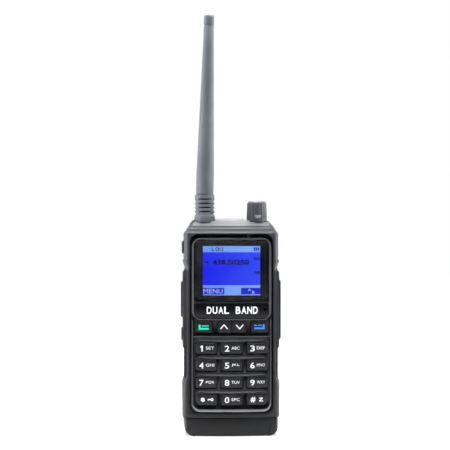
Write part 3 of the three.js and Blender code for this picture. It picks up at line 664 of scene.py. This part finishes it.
def screen_light(name, left, right, strength):
    """A lit display colour that drifts from left to right, with the dot grid of the display."""
    material = surface(name, (0.01, 0.01, 0.02), 0.4, grain=0.4, depth=0.002)
    tree = material.node_tree
    shader = tree.nodes["Principled BSDF"]
    place = tree.nodes.new("ShaderNodeTexCoord")
    parts = tree.nodes.new("ShaderNodeSeparateXYZ")
    across = tree.nodes.new("ShaderNodeMapRange")
    across.inputs["From Min"].default_value = -16.4 * MM
    across.inputs["From Max"].default_value = 16.4 * MM
    drift = tree.nodes.new("ShaderNodeValToRGB")
    drift.color_ramp.elements[0].color = (*left, 1)
    drift.color_ramp.elements[1].color = (*right, 1)
    tree.links.new(place.outputs["Object"], parts.inputs["Vector"])
    tree.links.new(parts.outputs["X"], across.inputs["Value"])
    tree.links.new(across.outputs["Result"], drift.inputs["Fac"])

    lines = None
    for coordinate in ("X", "Z"):
        ripple = tree.nodes.new("ShaderNodeMath")
        ripple.operation = "MULTIPLY"
        ripple.inputs[1].default_value = 2 * math.pi / (0.22 * MM)
        wave = tree.nodes.new("ShaderNodeMath")
        wave.operation = "SINE"
        level = tree.nodes.new("ShaderNodeMapRange")
        level.inputs["From Min"].default_value = -1
        level.inputs["To Min"].default_value = 0.88 * math.sqrt(strength)
        level.inputs["To Max"].default_value = 1.06 * math.sqrt(strength)
        tree.links.new(parts.outputs[coordinate], ripple.inputs[0])
        tree.links.new(ripple.outputs["Value"], wave.inputs[0])
        tree.links.new(wave.outputs["Value"], level.inputs["Value"])
        if lines is None:
            lines = level.outputs["Result"]
        else:
            grid = tree.nodes.new("ShaderNodeMath")
            grid.operation = "MULTIPLY"
            tree.links.new(lines, grid.inputs[0])
            tree.links.new(level.outputs["Result"], grid.inputs[1])
            lines = grid.outputs["Value"]
    tree.links.new(drift.outputs["Color"], shader.inputs["Emission Color"])
    tree.links.new(lines, shader.inputs["Emission Strength"])
    return material


screen_blue = screen_light("screen_blue", (0.0, 0.004, 0.93), (0.032, 0.07, 1.0), 1.0)
screen_pale = screen_light("screen_pale", (0.17, 0.34, 0.95), (0.26, 0.48, 1.0), 1.0)
screen_deep = screen_light("screen_deep", (0.0, 0.002, 0.60), (0.0, 0.004, 0.68), 1.0)
screen_ink = screen_light("screen_ink", (0.0, 0.0, 0.015), (0.0, 0.0, 0.02), 1.0)
screen_faint = screen_light("screen_faint", (0.0, 0.0, 0.22), (0.0, 0.0, 0.22), 1.0)
screen_white = screen_light("screen_white", (0.45, 0.62, 1.0), (0.5, 0.65, 1.0), 1.0)

# %% The window and its mask
lens = rounded_block("window_lens", "Y", (-21.1, -25, 77.6), (21.1, -15, 111.7), 2.2, 6)
combine(lens, crown(-17), "INTERSECT")
clean(lens)
soften(lens, 0.2, 2, 50)
hand_over(lens, "radio", lens_glass, "glass", "lcd_lens")
mask = rounded_block("window_mask", "Y", (-20.6, -14.97, 78.0), (20.6, -14.87, 111.3), 2)
cut(mask, block("opening", (-16.35, -16, 80.3), (16.35, -14, 108.25)))
hand_over(mask, "radio", mask_ink, None)

# %% The lit face, bars and boxes
LAYER = 0.015


def sheet(name, left, low, right, high, layer, finish, slot):
    """A thin lit sheet on the display. Higher layers lie further forward."""
    front = -14.745 - layer * LAYER
    piece = block(name, (left, front, low), (right, -14.705, high))
    return hand_over(piece, "radio", finish, slot)


sheet("screen_face", -16.9, 79.8, 16.9, 108.7, 0, screen_blue, "screen")
sheet("screen_status_bar", -16.9, 104.75, 16.9, 108.7, 1, screen_pale, None)
sheet("screen_menu_bar", -16.9, 79.8, 16.9, 86.0, 1, screen_pale, None)
sheet("screen_menu_box", -16.9, 80.85, -4.1, 84.6, 2, screen_deep, None)
sheet("screen_swap_box", 5.4, 80.85, 16.9, 84.6, 2, screen_deep, None)


# %% Lettering tool
def lettering(text, x, z, width, height, level, weight=0.0, depth=0.2, proud=0.03, bowed=True):
    """Letters that lie on the crown at a place, stretched to a width and a height."""
    bpy.ops.object.select_all(action="DESELECT")
    bpy.ops.object.text_add(location=(0, 0, 0))
    letters = bpy.context.object
    letters.data.body = text
    letters.data.resolution_u = 3
    letters.data.extrude = 0.05
    letters.data.offset = weight
    bpy.ops.object.convert(target="MESH")
    bpy.ops.object.origin_set(type="ORIGIN_GEOMETRY", center="BOUNDS")
    letters.scale = [size * MM / now for size, now in zip((width, height, depth), letters.dimensions)]
    turn = math.asin(x / CROWN_RADIUS) if bowed else 0
    fall = crown_fall(x) if bowed else 0
    letters.rotation_euler = (math.pi / 2, 0, turn)
    letters.location = (x * MM, (level + fall - proud + depth / 2) * MM, z * MM)
    return settle("letters")


def gather(name, pieces):
    """Join several small shapes into one mesh."""
    pick(pieces[0])
    for piece in pieces[1:]:
        piece.select_set(True)
    if len(pieces) > 1:
        bpy.ops.object.join()
    pieces[0].name = name
    pieces[0].data.name = name
    return pieces[0]


def screen_words(name, finish, slot, layer, *items, weight=0.035):
    """Lettering on the lit display. Each item is a text, its middle, its width and its height."""
    front = -14.745 - layer * LAYER
    shapes = [
        lettering(text, x, z, width, height, front, weight, 0.03, 0, bowed=False)
        for text, x, z, width, height in items
    ]
    return hand_over(gather(name, shapes), "radio", finish, slot)


screen_words(
    "screen_frequency", screen_ink, "screen_ink", 2,
    ("438.50250", -0.5, 99.05, 20.8, 2.85), ("L", -10.7, 106.5, 1.2, 2.2), ("CH 2", -6.9, 106.5, 4.5, 2.1),
)
screen_words("screen_side_figures", screen_faint, None, 2,
             ("032", 14.4, 101.1, 3.6, 1.8), ("008", 14.4, 93.3, 3.6, 1.8))
screen_words("screen_menu_word", screen_white, None, 3, ("MENU", -10.5, 82.7, 10.9, 2.6), weight=0.0)
screen_words("screen_swap_word", screen_white, None, 3,
             ("A", 10.2, 83.4, 1.6, 1.4), ("B", 12.4, 82.0, 1.4, 1.4))

# %% The arrow and the battery mark
arrow = [
    block("arrow", (-15.2, -14.775, 98.7), (-13.8, -14.71, 99.4)),
    rod("arrow_head", "Y", (-13.7, 99.05), 1.0, -14.775, -14.71, 3),
]
hand_over(gather("screen_arrow", arrow), "radio", screen_ink, "screen_ink")
cells = [block("cell", (left, -14.775, 105.75), (left + 0.9, -14.71, 107.25)) for left in (12.6, 13.75, 14.9)]
cells.append(block("cell", (12.4, -14.775, 107.35), (16.1, -14.71, 107.55)))
cells.append(block("cell", (12.4, -14.775, 105.45), (16.1, -14.71, 105.65)))
hand_over(gather("screen_battery", cells), "radio", screen_deep, None)

# %% [markdown]
# ## Nameplate
# A gloss black strip with plain raised letters. Each letter is set on the crown by itself, so
# that none of them stands off the curved face. The small round hole lets sound in to the
# microphone.

# %% The strip and its letters
plate_black = surface("nameplate", (0.008, 0.008, 0.01), 0.22, grain=0.3, depth=0.004)
# The letters carry a painted glow: they give off light of their own, so they read bright white.
plate_letters = surface("plate_letters", (0.85, 0.85, 0.86), 0.3, grain=0.2, depth=0.004, shift=0.04, glow=0.7)
strip = rounded_block("name_strip", "Y", (-21.5, -25, 67.2), (21.5, -10, 75.6), 1.8, 6)
crowned(strip, -16.95, -16.4)
clean(strip)
soften(strip, 0.25, 3, 50)
cut(strip, rod("sound_hole", "Y", (19, 72.2), 0.85, -25, -8, 32))
hand_over(strip, "radio", plate_black, "nameplate", "nameplate")
NAME = "DUAL BAND"
NAME_LEFT, NAME_RIGHT = -14.4, 15.2
pitch = (NAME_RIGHT - NAME_LEFT) / len(NAME)
name_shapes = []
for index, letter in enumerate(NAME):
    if letter != " ":
        x = NAME_LEFT + (index + 0.5) * pitch
        name_shapes.append(lettering(letter, x, 71.8, pitch * 0.84, 4.1, -16.95, 0.02, 0.3, 0.12))
hand_over(gather("name_letters", name_shapes), "radio", plate_letters, "plate_letters")

# %% [markdown]
# ## Keys
# Each key is a small rubber block with a crowned face and round edges. The keys of one column are
# alike, so the first is modelled and the others are copied down the column. Star and hash
# have one corner cut larger to follow the panel's corner.

# %% Legend finishes
# The legends carry a painted glow: the print gives off light of its own, so it reads brighter than the lamps make it.
legend_white = surface("legend_white", (0.8, 0.8, 0.82), 0.5, grain=0.15, depth=0.004, shift=0.04, glow=0.6)
legend_green = surface("legend_green", (0.01, 0.72, 0.42), 0.5, grain=0.15, depth=0.004, shift=0.08, glow=0.6)
legend_blue = surface("legend_blue", (0.04, 0.24, 0.85), 0.5, grain=0.15, depth=0.004, shift=0.08, glow=0.6)
KEY_LEVEL = -17.85


def stroke(start, end, width, level=KEY_LEVEL):
    """A straight printed line between two X, Z places on the crown."""
    bpy.ops.object.select_all(action="DESELECT")
    span = math.hypot(end[0] - start[0], end[1] - start[1])
    middle = [(a + b) / 2 for a, b in zip(start, end)]
    front = level + crown_fall(middle[0]) - 0.04
    turn = math.asin(middle[0] / CROWN_RADIUS)
    bpy.ops.mesh.primitive_cube_add(
        size=1, location=(middle[0] * MM, (front + 0.1) * MM, middle[1] * MM),
        rotation=(0, -math.atan2(end[1] - start[1], end[0] - start[0]), turn),
        scale=(span * MM, 0.2 * MM, width * MM),
    )
    return settle("stroke")


def make_key(name, corner=1.0, big_corner=None):
    """A key cap in its place. big_corner is the side whose lower corner is cut larger."""
    low, high = frame_box(name)
    cap = rounded_block(name + "_cap", "Y", (low[0], -25, low[2]), (high[0], high[1], high[2]), corner, 4)
    if big_corner:
        left = low[0] if big_corner < 0 else low[0] - 9
        right = high[0] if big_corner > 0 else high[0] + 9
        large = rounded_block("large_corner", "Y", (left, -30, low[2]), (right, 0, high[2] + 9), 2.6, 6)
        combine(cap, large, "INTERSECT")
    combine(cap, crown(KEY_LEVEL), "INTERSECT")
    clean(cap)
    soften(cap, 0.4, 3, 45)
    return cap


def copy_down(piece, name, drop):
    """A copy of a piece with its own mesh, lower by a distance."""
    pick(piece)
    bpy.ops.object.duplicate_move(TRANSFORM_OT_translate={"value": (0, 0, -drop * MM)})
    return settle(name)


# %% Number keys
for column in range(3):
    names = NUMBER_KEYS[column::3]
    top_key = make_key(names[0])
    top_middle = frame_box(names[0])[0][2]
    for name in names[1:]:
        if name in ("key_star", "key_hash"):
            cap = make_key(name, 1.0, -1 if name == "key_star" else 1)
        else:
            cap = copy_down(top_key, name + "_cap", top_middle - frame_box(name)[0][2])
        hand_over(cap, name, key_rubber, "key_rubber", name)
    hand_over(top_key, names[0], key_rubber, "key_rubber", names[0])

# %% Number key legends
WORDS = {"1": "SET", "2": "ABC", "3": "DEF", "4": "GHI", "5": "JKL", "6": "MNO", "7": "PQR", "8": "TUV",
         "9": "WXY", "0": "SPC"}
for name in NUMBER_KEYS:
    low, high = frame_box(name)
    x = (low[0] + high[0]) / 2
    z = (low[2] + high[2]) / 2
    sign = name.split("_")[1]
    if sign == "star":
        shapes = [
            stroke((x - 1.95 + 1.25 * math.cos(turn), z + 0.2 + 1.25 * math.sin(turn)),
                   (x - 1.95 - 1.25 * math.cos(turn), z + 0.2 - 1.25 * math.sin(turn)), 0.62)
            for turn in (math.pi / 2, math.pi / 6, -math.pi / 6)
        ]
        shapes.append(stroke((x + 0.9, z + 0.35), (x + 2.9, z + 0.35), 0.55))
        shapes.append(stroke((x + 1.2, z - 0.25), (x + 1.2, z + 0.35), 0.5))
        front = KEY_LEVEL + crown_fall(x + 3.3) - 0.05
        ring = rod("ring", "Y", (x + 3.3, z + 0.3), 0.85, front, front + 0.2, 24)
        shapes.append(cut(ring, rod("eye", "Y", (x + 3.3, z + 0.3), 0.35, -18, -16, 16)))
    elif sign == "hash":
        shapes = [
            stroke((x - 3.2, z - 1.4), (x - 2.7, z + 1.6), 0.5), stroke((x - 2.0, z - 1.4), (x - 1.5, z + 1.6), 0.5),
            stroke((x - 3.9, z - 0.4), (x - 1.1, z - 0.4), 0.5), stroke((x - 3.7, z + 0.6), (x - 0.9, z + 0.6), 0.5),
            stroke((x + 1.1, z + 1.0), (x + 3.2, z + 1.0), 0.42), stroke((x + 3.1, z + 1.0), (x + 1.2, z - 0.7), 0.42),
            stroke((x + 1.1, z - 0.7), (x + 3.4, z - 0.7), 0.42),
        ]
    else:
        shapes = [lettering(WORDS[sign], x + 2.15, z + 0.25, 4.7, 1.7, KEY_LEVEL, 0.0)]
        if sign == "1":
            shapes.append(stroke((x - 2.35, z - 1.7), (x - 2.35, z + 1.7), 0.8))
            shapes.append(stroke((x - 3.4, z + 0.75), (x - 2.2, z + 1.5), 0.55))
        else:
            shapes.append(lettering(sign, x - 2.7, z, 2.6, 3.4, KEY_LEVEL, 0.012))
    hand_over(gather(name + "_legend", shapes), name, legend_white, "legend_white")

# %% Function keys and their marks
for name in FUNCTION_KEYS:
    hand_over(make_key(name, 0.8), name, key_rubber, "key_rubber", name)
call = [stroke((-18.8, 61.3), (-12.95, 61.3), 1.15), stroke((-18.25, 60.8), (-18.25, 63.6), 1.1),
        stroke((-17.0, 62.95), (-13.1, 62.95), 0.62)]
hand_over(gather("key_menu_mark", call), "key_menu", legend_green, "legend_green")
hang_up = [stroke((12.8, 61.5), (18.8, 61.5), 0.95), stroke((18.25, 61.1), (18.25, 63.8), 1.1),
           stroke((12.8, 63.2), (14.4, 63.2), 0.7), stroke((15.1, 63.2), (17.1, 63.2), 0.7)]
hand_over(gather("key_exit_mark", hang_up), "key_exit", legend_blue, "legend_blue")
up = [stroke((-6.4, 61.2), (-4.25, 63.7), 0.62), stroke((-4.55, 63.7), (-2.4, 61.2), 0.62)]
hand_over(gather("key_up_mark", up), "key_up", legend_white, "legend_white")
down = [stroke((2.5, 63.6), (4.65, 61.1), 0.62), stroke((4.35, 61.1), (6.5, 63.6), 0.62)]
hand_over(gather("key_down_mark", down), "key_down", legend_white, "legend_white")

# %% [markdown]
# ## Volume knob
# A turned cap that narrows to the top, with a domed edge and grip flutes. The flutes leave a plain
# pad at the front, where a pale half moon shows the setting. It is bored for the shaft.

# %% The knob
KNOB_RADIUS = knob_high[0] - knob_x
knob_low_z, knob_high_z = knob_low[2], knob_high[2]
knob = rod("knob", "Z", (knob_x, top_y), KNOB_RADIUS, knob_low_z, knob_high_z, 96)
grab(knob, "VERT", lambda point: point.z > knob_high_z - 0.1)
bpy.ops.transform.resize(value=(0.93, 0.93, 1), center_override=(knob_x * MM, top_y * MM, 0))
bpy.ops.object.mode_set(mode="OBJECT")
round_edges(knob, lambda ends: all(point.z > knob_high_z - 0.1 for point in ends), 1.9, 6)
FLUTES = 18
for flute in range(1, FLUTES):
    turn = 2 * math.pi * flute / FLUTES - math.pi / 2
    place = (knob_x + 6.15 * math.cos(turn), top_y + 6.15 * math.sin(turn))
    cut(knob, rod("flute", "Z", place, 0.75, knob_low_z + 1.6, 132.6, 16))
cut(knob, rod("bore", "Z", (knob_x, top_y), 4.3, 120, 126), rod("bore", "Z", (knob_x, top_y), 2.8, 120, 131.7))
clean(knob)
soften(knob, 0.12, 2, 40)
hand_over(knob, "volume_knob", knob_plastic, "knob_plastic", "volume_knob")
pointer = rod("knob_pointer", "Y", (knob_x + 0.4, 126.1), 1.9, -14, -9, 48)
combine(pointer, block("half", (0, -15, 120), (30, 0, 126.0)), "INTERSECT")
combine(pointer, rod("skin", "Z", (knob_x, top_y), KNOB_RADIUS, 120, 130, 96), "INTERSECT")
pointer_pale = surface("pointer_pale", (0.42, 0.46, 0.52), 0.5, grain=0.2, depth=0.01)
hand_over(pointer, "volume_knob", pointer_pale, None)

# %% [markdown]
# ## Antenna
# The neck is a moulded rubber relief: slots at the front and back alternate with notches at the
# sides, so it can bend. The whip above it tapers and ends in a separate cap.

# %% Collar and neck
neck = rod("antenna_neck", "Z", (antenna_x, top_y), 5.66, 124.5, 137.6, 96)
collar = rod("collar", "Z", (antenna_x, top_y), 5.97, 121.9, 125.9, 96)
round_edges(collar, lambda ends: all(point.z > 125.8 for point in ends), 0.6, 3)
join(neck, collar)
for height in (127.9, 130.3, 132.65, 135.1):
    for side in (-1, 1):
        cut(neck, ball("slot", (antenna_x, top_y + side * 6.2, height), (6.1, 2.7, 0.5), 32))
for height in (126.8, 129.15, 131.5, 133.85):
    ring = rod("ring", "Z", (antenna_x, top_y), 7, height - 0.45, height + 0.45, 64)
    grab(ring, "VERT", lambda point: True)
    bpy.ops.object.mode_set(mode="OBJECT")
    cut(ring, rod("core", "Z", (antenna_x, top_y), 5.1, height - 1, height + 1, 64))
    cut(ring, block("front_web", (antenna_x - 3.0, top_y - 8, height - 1), (antenna_x + 3.0, top_y + 8, height + 1)))
    cut(neck, ring)
cut(neck, rod("bore", "Z", (antenna_x, top_y), 4.6, 120, 127.1))
clean(neck)
soften(neck, 0.15, 2, 40)
hand_over(neck, "antenna", antenna_rubber, "antenna_rubber", "antenna_sleeve")

# %% Whip and tip
WHIP_FOOT = 137.62
LEAN = math.radians(1.45)


def lean(name, piece):
    """Lean an upright piece at the origin and put it on the neck."""
    pick(piece)
    piece.rotation_euler = (0, LEAN, 0)
    piece.location = (antenna_x * MM, top_y * MM, WHIP_FOOT * MM)
    return settle(name)


whip = rod("whip", "Z", (0, 0), 5.05, 0, 12, 96)
for height, radius, below in ((50, 4.05, 5.05), (87, 3.1, 4.05), (97.2, 2.95, 3.1)):
    start = max(vertex.co.z for vertex in whip.data.vertices) / MM
    grab(whip, "FACE", lambda points: all(point.z > start - 0.01 for point in points))
    bpy.ops.mesh.extrude_region_move(TRANSFORM_OT_translate={"value": (0, 0, (height - start) * MM)})
    bpy.ops.transform.resize(value=(radius / below, radius / below, 1), center_override=(0, 0, 0))
    bpy.ops.object.mode_set(mode="OBJECT")
soften(whip, 0.15, 2, 40)
hand_over(lean("whip", whip), "antenna", antenna_rubber, "antenna_rubber", "antenna_whip")
tip = rod("whip_cap", "Z", (0, 0), 2.98, 97.6, 104.4, 64)
round_edges(tip, lambda ends: all(point.z > 104.3 for point in ends), 2.3, 8)
join(tip, rod("spigot", "Z", (0, 0), 2.6, 97, 98, 48))
soften(tip, 0.15, 2, 50)
hand_over(lean("whip_cap", tip), "antenna", antenna_rubber, "antenna_rubber", "antenna_tip")

# %% [markdown]
# ## Side keys and jack cover
# The push-to-talk key is the largest: a rubber pad with a raised middle and grip ribs. The two
# small keys are plain domes. The cover on the other side hides the two jacks, and its ribs give
# a finger nail something to lift.

# %% The left side
def side_pad(name, node, outer, radius):
    """A raised pad on the left side, out to this X."""
    low, high = frame_box(node)
    return rounded_block(name, "X", (-outer, low[1], low[2]), (high[0], high[1], high[2]), radius, 6)


low, high = frame_box("ptt_button")
talk = side_pad("talk_key", "ptt_button", 27.7, 1.9)
join(talk, rounded_block("middle", "X", (low[0], low[1] + 0.9, low[2] + 1.2), (-27, high[1] - 0.9, high[2] - 2.6), 1.5, 6))
soften(talk, 0.35, 3, 40)
for height in (71, 73.6, 76.2, 78.8, 81.4, 84):
    groove = rod("groove", "Y", (low[0] - 0.35, height), 0.75, low[1] + 1.6, high[1] - 1.6, 20)
    cut(talk, groove)
hand_over(talk, "ptt_button", cover_rubber, "cover_rubber", "ptt_button")
for name, node in (("lower_key_cap", "side_key_lower"), ("upper_key_cap", "side_key_upper")):
    low, high = frame_box(node)
    cap = soften(side_pad(name, node, -low[0], 1.9), 0.6, 4, 40)
    for height in ((low[2] + high[2]) / 2 - 1.3, (low[2] + high[2]) / 2 + 1.3):
        cut(cap, rod("groove", "Y", (low[0] - 0.3, height), 0.55, low[1] + 2, high[1] - 2, 16))
    hand_over(cap, node, cover_rubber, "cover_rubber", node)

# %% The jack cover
low, high = frame_box("jack_cover")
lid = rounded_block("cover_lid", "X", (low[0], low[1], low[2]), (27.9, high[1], high[2]), 1.9, 6)
join(lid, rounded_block("middle", "X", (27, low[1] + 0.9, low[2] + 1.2), (high[0], high[1] - 0.9, high[2] - 2), 1.5, 6))
soften(lid, 0.3, 3, 40)
for height in (58, 61, 64, 67, 70, 73, 76, 79, 82, 85):
    cut(lid, rod("groove", "Y", (high[0] + 0.3, height), 0.6, low[1] + 1.8, high[1] - 1.8, 16))
hand_over(lid, "jack_cover", cover_rubber, "cover_rubber", "jack_cover")

# %% [markdown]
# ## Battery pack
# The pack is one shell: a foot with the case's own front and corners, and a box behind the rear
# frame. The foot's upper front edge is cut back, which makes the bright seam under the case.

# %% The foot
foot_low, foot_high = frame_box("battery_case")
battery = block("battery_shell", (foot_low[0], foot_low[1], 0), (foot_high[0], foot_high[1], 10.3))
crowned(battery, foot_low[1])
clean(battery)
round_edges(battery, lambda ends: along("Z")(ends) and all(abs(p.x) > 26 and p.y < -10 for p in ends), 4.2, 8)
round_edges(battery, lambda ends: along("Z")(ends) and all(abs(p.x) > 26 and p.y > 15 for p in ends), 5, 8)
for side in (-1, 1):
    wedge = block("corner", (-6, -30, -6), (6, 30, 6))
    cut(wedge, rod("arc", "Y", (-side * 6, 6), 5.8, -31, 31, 64))
    pick(wedge)
    wedge.location = (side * foot_high[0] * MM + side * 0.2 * MM, 0, -0.2 * MM)
    settle("corner")
    cut(battery, wedge)
round_edges(battery, lambda ends: along("X")(ends) and all(p.z < 0.1 for p in ends), 1.8, 5)
round_edges(battery, lambda ends: all(p.z > 10.2 and p.y < 17 for p in ends), 0.55, 2)

# %% The box behind
pack = block("pack", (-26.2, 5.6, 4), (26.2, 18.5, 96.4))
round_edges(pack, lambda ends: along("Z")(ends) and all(p.y > 18 for p in ends), 5, 8)
round_edges(pack, lambda ends: all(p.z > 96 and p.y > 6 for p in ends), 0.8, 3)
join(battery, pack)
cut(
    battery,
    block("cell_room", (-23.8, 0, 12.3), (23.8, 16.4, 94)),
    rounded_block("foot_room", "Z", (-21, -12.6, 3), (21, 2.4, 15), 3, 5),
    rounded_block("label_recess", "Y", (-18, 18.1, 34), (18, 20, 84), 2, 5),
)
for height in (15, 17.4, 19.8, 22.2, 24.6):
    cut(battery, rod("grip", "X", (19.1, height), 1.0, -17, 17, 20))
clean(battery)
soften(battery, 0.3, 3, 35)
# The pack shares the case finish, so its foot carries the case finish's darkest painted shade.
hand_over(battery, "battery", case_plastic, "case_plastic", "battery_case")
label = rounded_block("battery_label", "Y", (-17.5, 18.0, 34.5), (17.5, 18.25, 83.5), 1.6, 5)
label_paper = surface("label_paper", (0.1, 0.102, 0.106), 0.45, grain=0.4, depth=0.006, shift=0.04)
hand_over(label, "battery", label_paper, None)
for name, x in (("charge_pad_left", -12), ("charge_pad_right", 12)):
    pad = soften(rod(name, "Y", (x, 8.6), 2.2, 17.4, 18.45, 40), 0.15, 2, 40)
    cut(battery, rod("seat", "Y", (x, 8.6), 2.3, 17.3, 20, 40))
    brass_pad = surface(name + "_gold", (0.62, 0.44, 0.17), 0.3, grain=0.4, depth=0.006, metallic=1)
    hand_over(pad, "battery", brass_pad, "brass")

# %% [markdown]
# ## Rear frame
# A die-cast plate closes the case, and its block at the top carries the belt clip and the
# battery latch. It is painted black with a coarse texture.

# %% The plate and the block
frame_paint = surface("frame_paint", (0.03, 0.031, 0.034), 0.55, grain=0.35, depth=0.05)
plate = block("rear_plate", (-26.9, 3.3, 10.6), (26.9, 5.3, 121.2))
for side in (-1, 1):
    near, far = sorted((side * 26.4, side * 30))
    cut(plate, block("waist", (near, 0, 33.0), (far, 9, 50)), block("notch", (near, 0, 94), (far, 9, 97)))
carrier = block("carrier", (-26.2, 4, 96.8), (26.2, 18.5, 121.3))
round_edges(carrier, lambda ends: along("Z")(ends) and all(p.y > 18 for p in ends), 5, 8)
round_edges(carrier, lambda ends: along("X")(ends) and all(p.y > 13 and p.z > 121 for p in ends), 4, 5)
join(plate, carrier)
for side in (-1, 1):
    wedge = block("shoulder", (-5, -30, -5), (5, 30, 5))
    pick(wedge)
    wedge.rotation_euler = (0, -side * math.radians(40.4), 0)
    wedge.location = (side * 27.6 * MM, 0, 121.7 * MM)
    settle("shoulder")
    cut(plate, wedge)
cut(
    plate,
    block("room", (-21.5, 2, 98.8), (21.5, 16.3, 115.4)),
    rounded_block("latch_hole", "Y", (-8.3, 14, 99.3), (8.3, 20, 103.3), 0.8, 3),
    block("latch_slot", (-5.3, 8.2, 95), (5.3, 13.2, 100)),
    *[rod("clip_hole", "Y", (x, 107.4), 1.5, 10, 20, 24) for x in (-7.5, 7.5)],
    *[rod("case_hole", "Y", (x, 22.4), 2.7, 0, 10, 32) for x in (-19, 19)],
)
clean(plate)
soften(plate, 0.3, 2, 35)
hand_over(plate, "radio", frame_paint, "die_cast", "rear_frame")

# %% The latch
latch = rounded_block("latch_button", "Y", (-8, 15, 99.6), (8, 19, 103), 0.7, 4)
join(latch, block("stop", (-9.4, 14, 99.2), (9.4, 15.9, 104.4)), block("tooth", (-5, 10, 97.1), (5, 12.9, 100.8)),
     block("web", (-5, 10, 99.2), (5, 14.4, 100.8)))
for x in (-5, -3, -1, 1, 3, 5):
    cut(latch, rod("grip", "Z", (x, 19.25), 0.5, 99, 104, 16))
soften(latch, 0.2, 2, 40)
hand_over(latch, "battery_latch", case_plastic, "case_plastic", "battery_latch")

# %% [markdown]
# ## Belt clip
# A sprung arm on a pin. The arm is a straight bar; its lower end is drawn inward to the lip and
# out again, and its upper end is thinned to a thumb pad. The base is a folded steel plate.

# %% The arm
clip = block("clip_arm", (-7.7, 24.2, 55), (7.7, 26.4, 118.4))
for shift, drop in ((-1.6, 6.2), (-3.4, 5.4), (3.0, 6.0)):
    bottom = min(vertex.co.z for vertex in clip.data.vertices) / MM
    grab(clip, "FACE", lambda points: all(point.z < bottom + 0.01 for point in points))
    bpy.ops.mesh.extrude_region_move(TRANSFORM_OT_translate={"value": (0, shift * MM, -drop * MM)})
    bpy.ops.object.mode_set(mode="OBJECT")
grab(clip, "FACE", lambda points: all(point.z > 118.3 for point in points))
bpy.ops.mesh.extrude_region_move(TRANSFORM_OT_translate={"value": (0, -1.1 * MM, 2.9 * MM)})
bpy.ops.object.mode_set(mode="OBJECT")
low_end = min(vertex.co.z for vertex in clip.data.vertices) / MM
combine(clip, rounded_block("face", "Y", (-7.7, 10, low_end), (7.7, 30, 121.3), 3.5, 8), "INTERSECT")
join(clip, rod("barrel", "X", (23.4, 113), 2.3, -7.7, 7.7, 32))
cut(clip, rod("pin_hole", "X", (23.4, 113), 1.3, -10, 10, 24), block("spring_room", (-3, 20.5, 110.3), (3, 25.7, 115.7)))
for height in (115.2, 116.8, 118.4):
    cut(clip, rod("grip", "X", (26.6, height), 0.5, -5.5, 5.5, 16))
clean(clip)
soften(clip, 0.3, 3, 35)
hand_over(clip, "belt_clip", case_plastic, "case_plastic", "belt_clip")

# %% The base
clip_steel = surface("clip_steel", (0.5, 0.51, 0.53), 0.32, grain=0.5, depth=0.008, metallic=1)
base = rounded_block("clip_plate", "Y", (-11, 18.8, 104.3), (11, 20.8, 116.4), 1.5, 5)
for side in (-1, 1):
    near, far = sorted((side * 8.1, side * 10.8))
    join(base, rounded_block("lug", "X", (near, 20, 109.9), (far, 25.7, 116.1), 1.6, 5))
cut(base, rod("pin_hole", "X", (23.4, 113), 1.1, -12, 12, 24),
    *[rod("screw_hole", "Y", (x, 107.4), 1.5, 15, 30, 24) for x in (-7.5, 7.5)])
clean(base)
soften(base, 0.2, 2, 40)
hand_over(base, "radio", clip_steel, "steel", "clip_base")

# %% [markdown]
# ## Finishes for the inner pieces
# The pieces inside keep the frame's own shapes. Each one gets the finish of its real material.

# %% Lay the finishes on
INNER = {
    "case_plastic": case_plastic,
    "key_rubber": key_rubber,
    "screen": mask_ink,
    "lamp": surface("lamp_lens", (0.05, 0.055, 0.05), 0.25, grain=0.3, depth=0.004),
    "circuit_board": surface("circuit_board", (0.01, 0.09, 0.035), 0.4, grain=0.5, depth=0.01, shift=0.3, patch=3),
    "steel": surface("steel", (0.48, 0.49, 0.5), 0.34, grain=0.4, depth=0.008, metallic=1),
    "brass": surface("brass", (0.66, 0.47, 0.2), 0.3, grain=0.4, depth=0.006, metallic=1),
    "paper": surface("cone_paper", (0.03, 0.026, 0.022), 0.85, grain=0.5, depth=0.05, shift=0.25),
    "cell_wrap": surface("cell_wrap", (0.03, 0.11, 0.33), 0.4, grain=0.4, depth=0.006, shift=0.1),
}
black_felt = surface("microphone_felt", (0.01, 0.01, 0.01), 0.9, grain=0.3, depth=0.05)
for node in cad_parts:
    piece = bpy.data.objects[node]
    if piece.hide_render:
        continue
    for place in piece.material_slots:
        finish = INNER[place.material.name.split(".")[0]]
        place.material = black_felt if node == "microphone" else finish
    print(node, "is finished as", piece.material_slots[0].material.name)
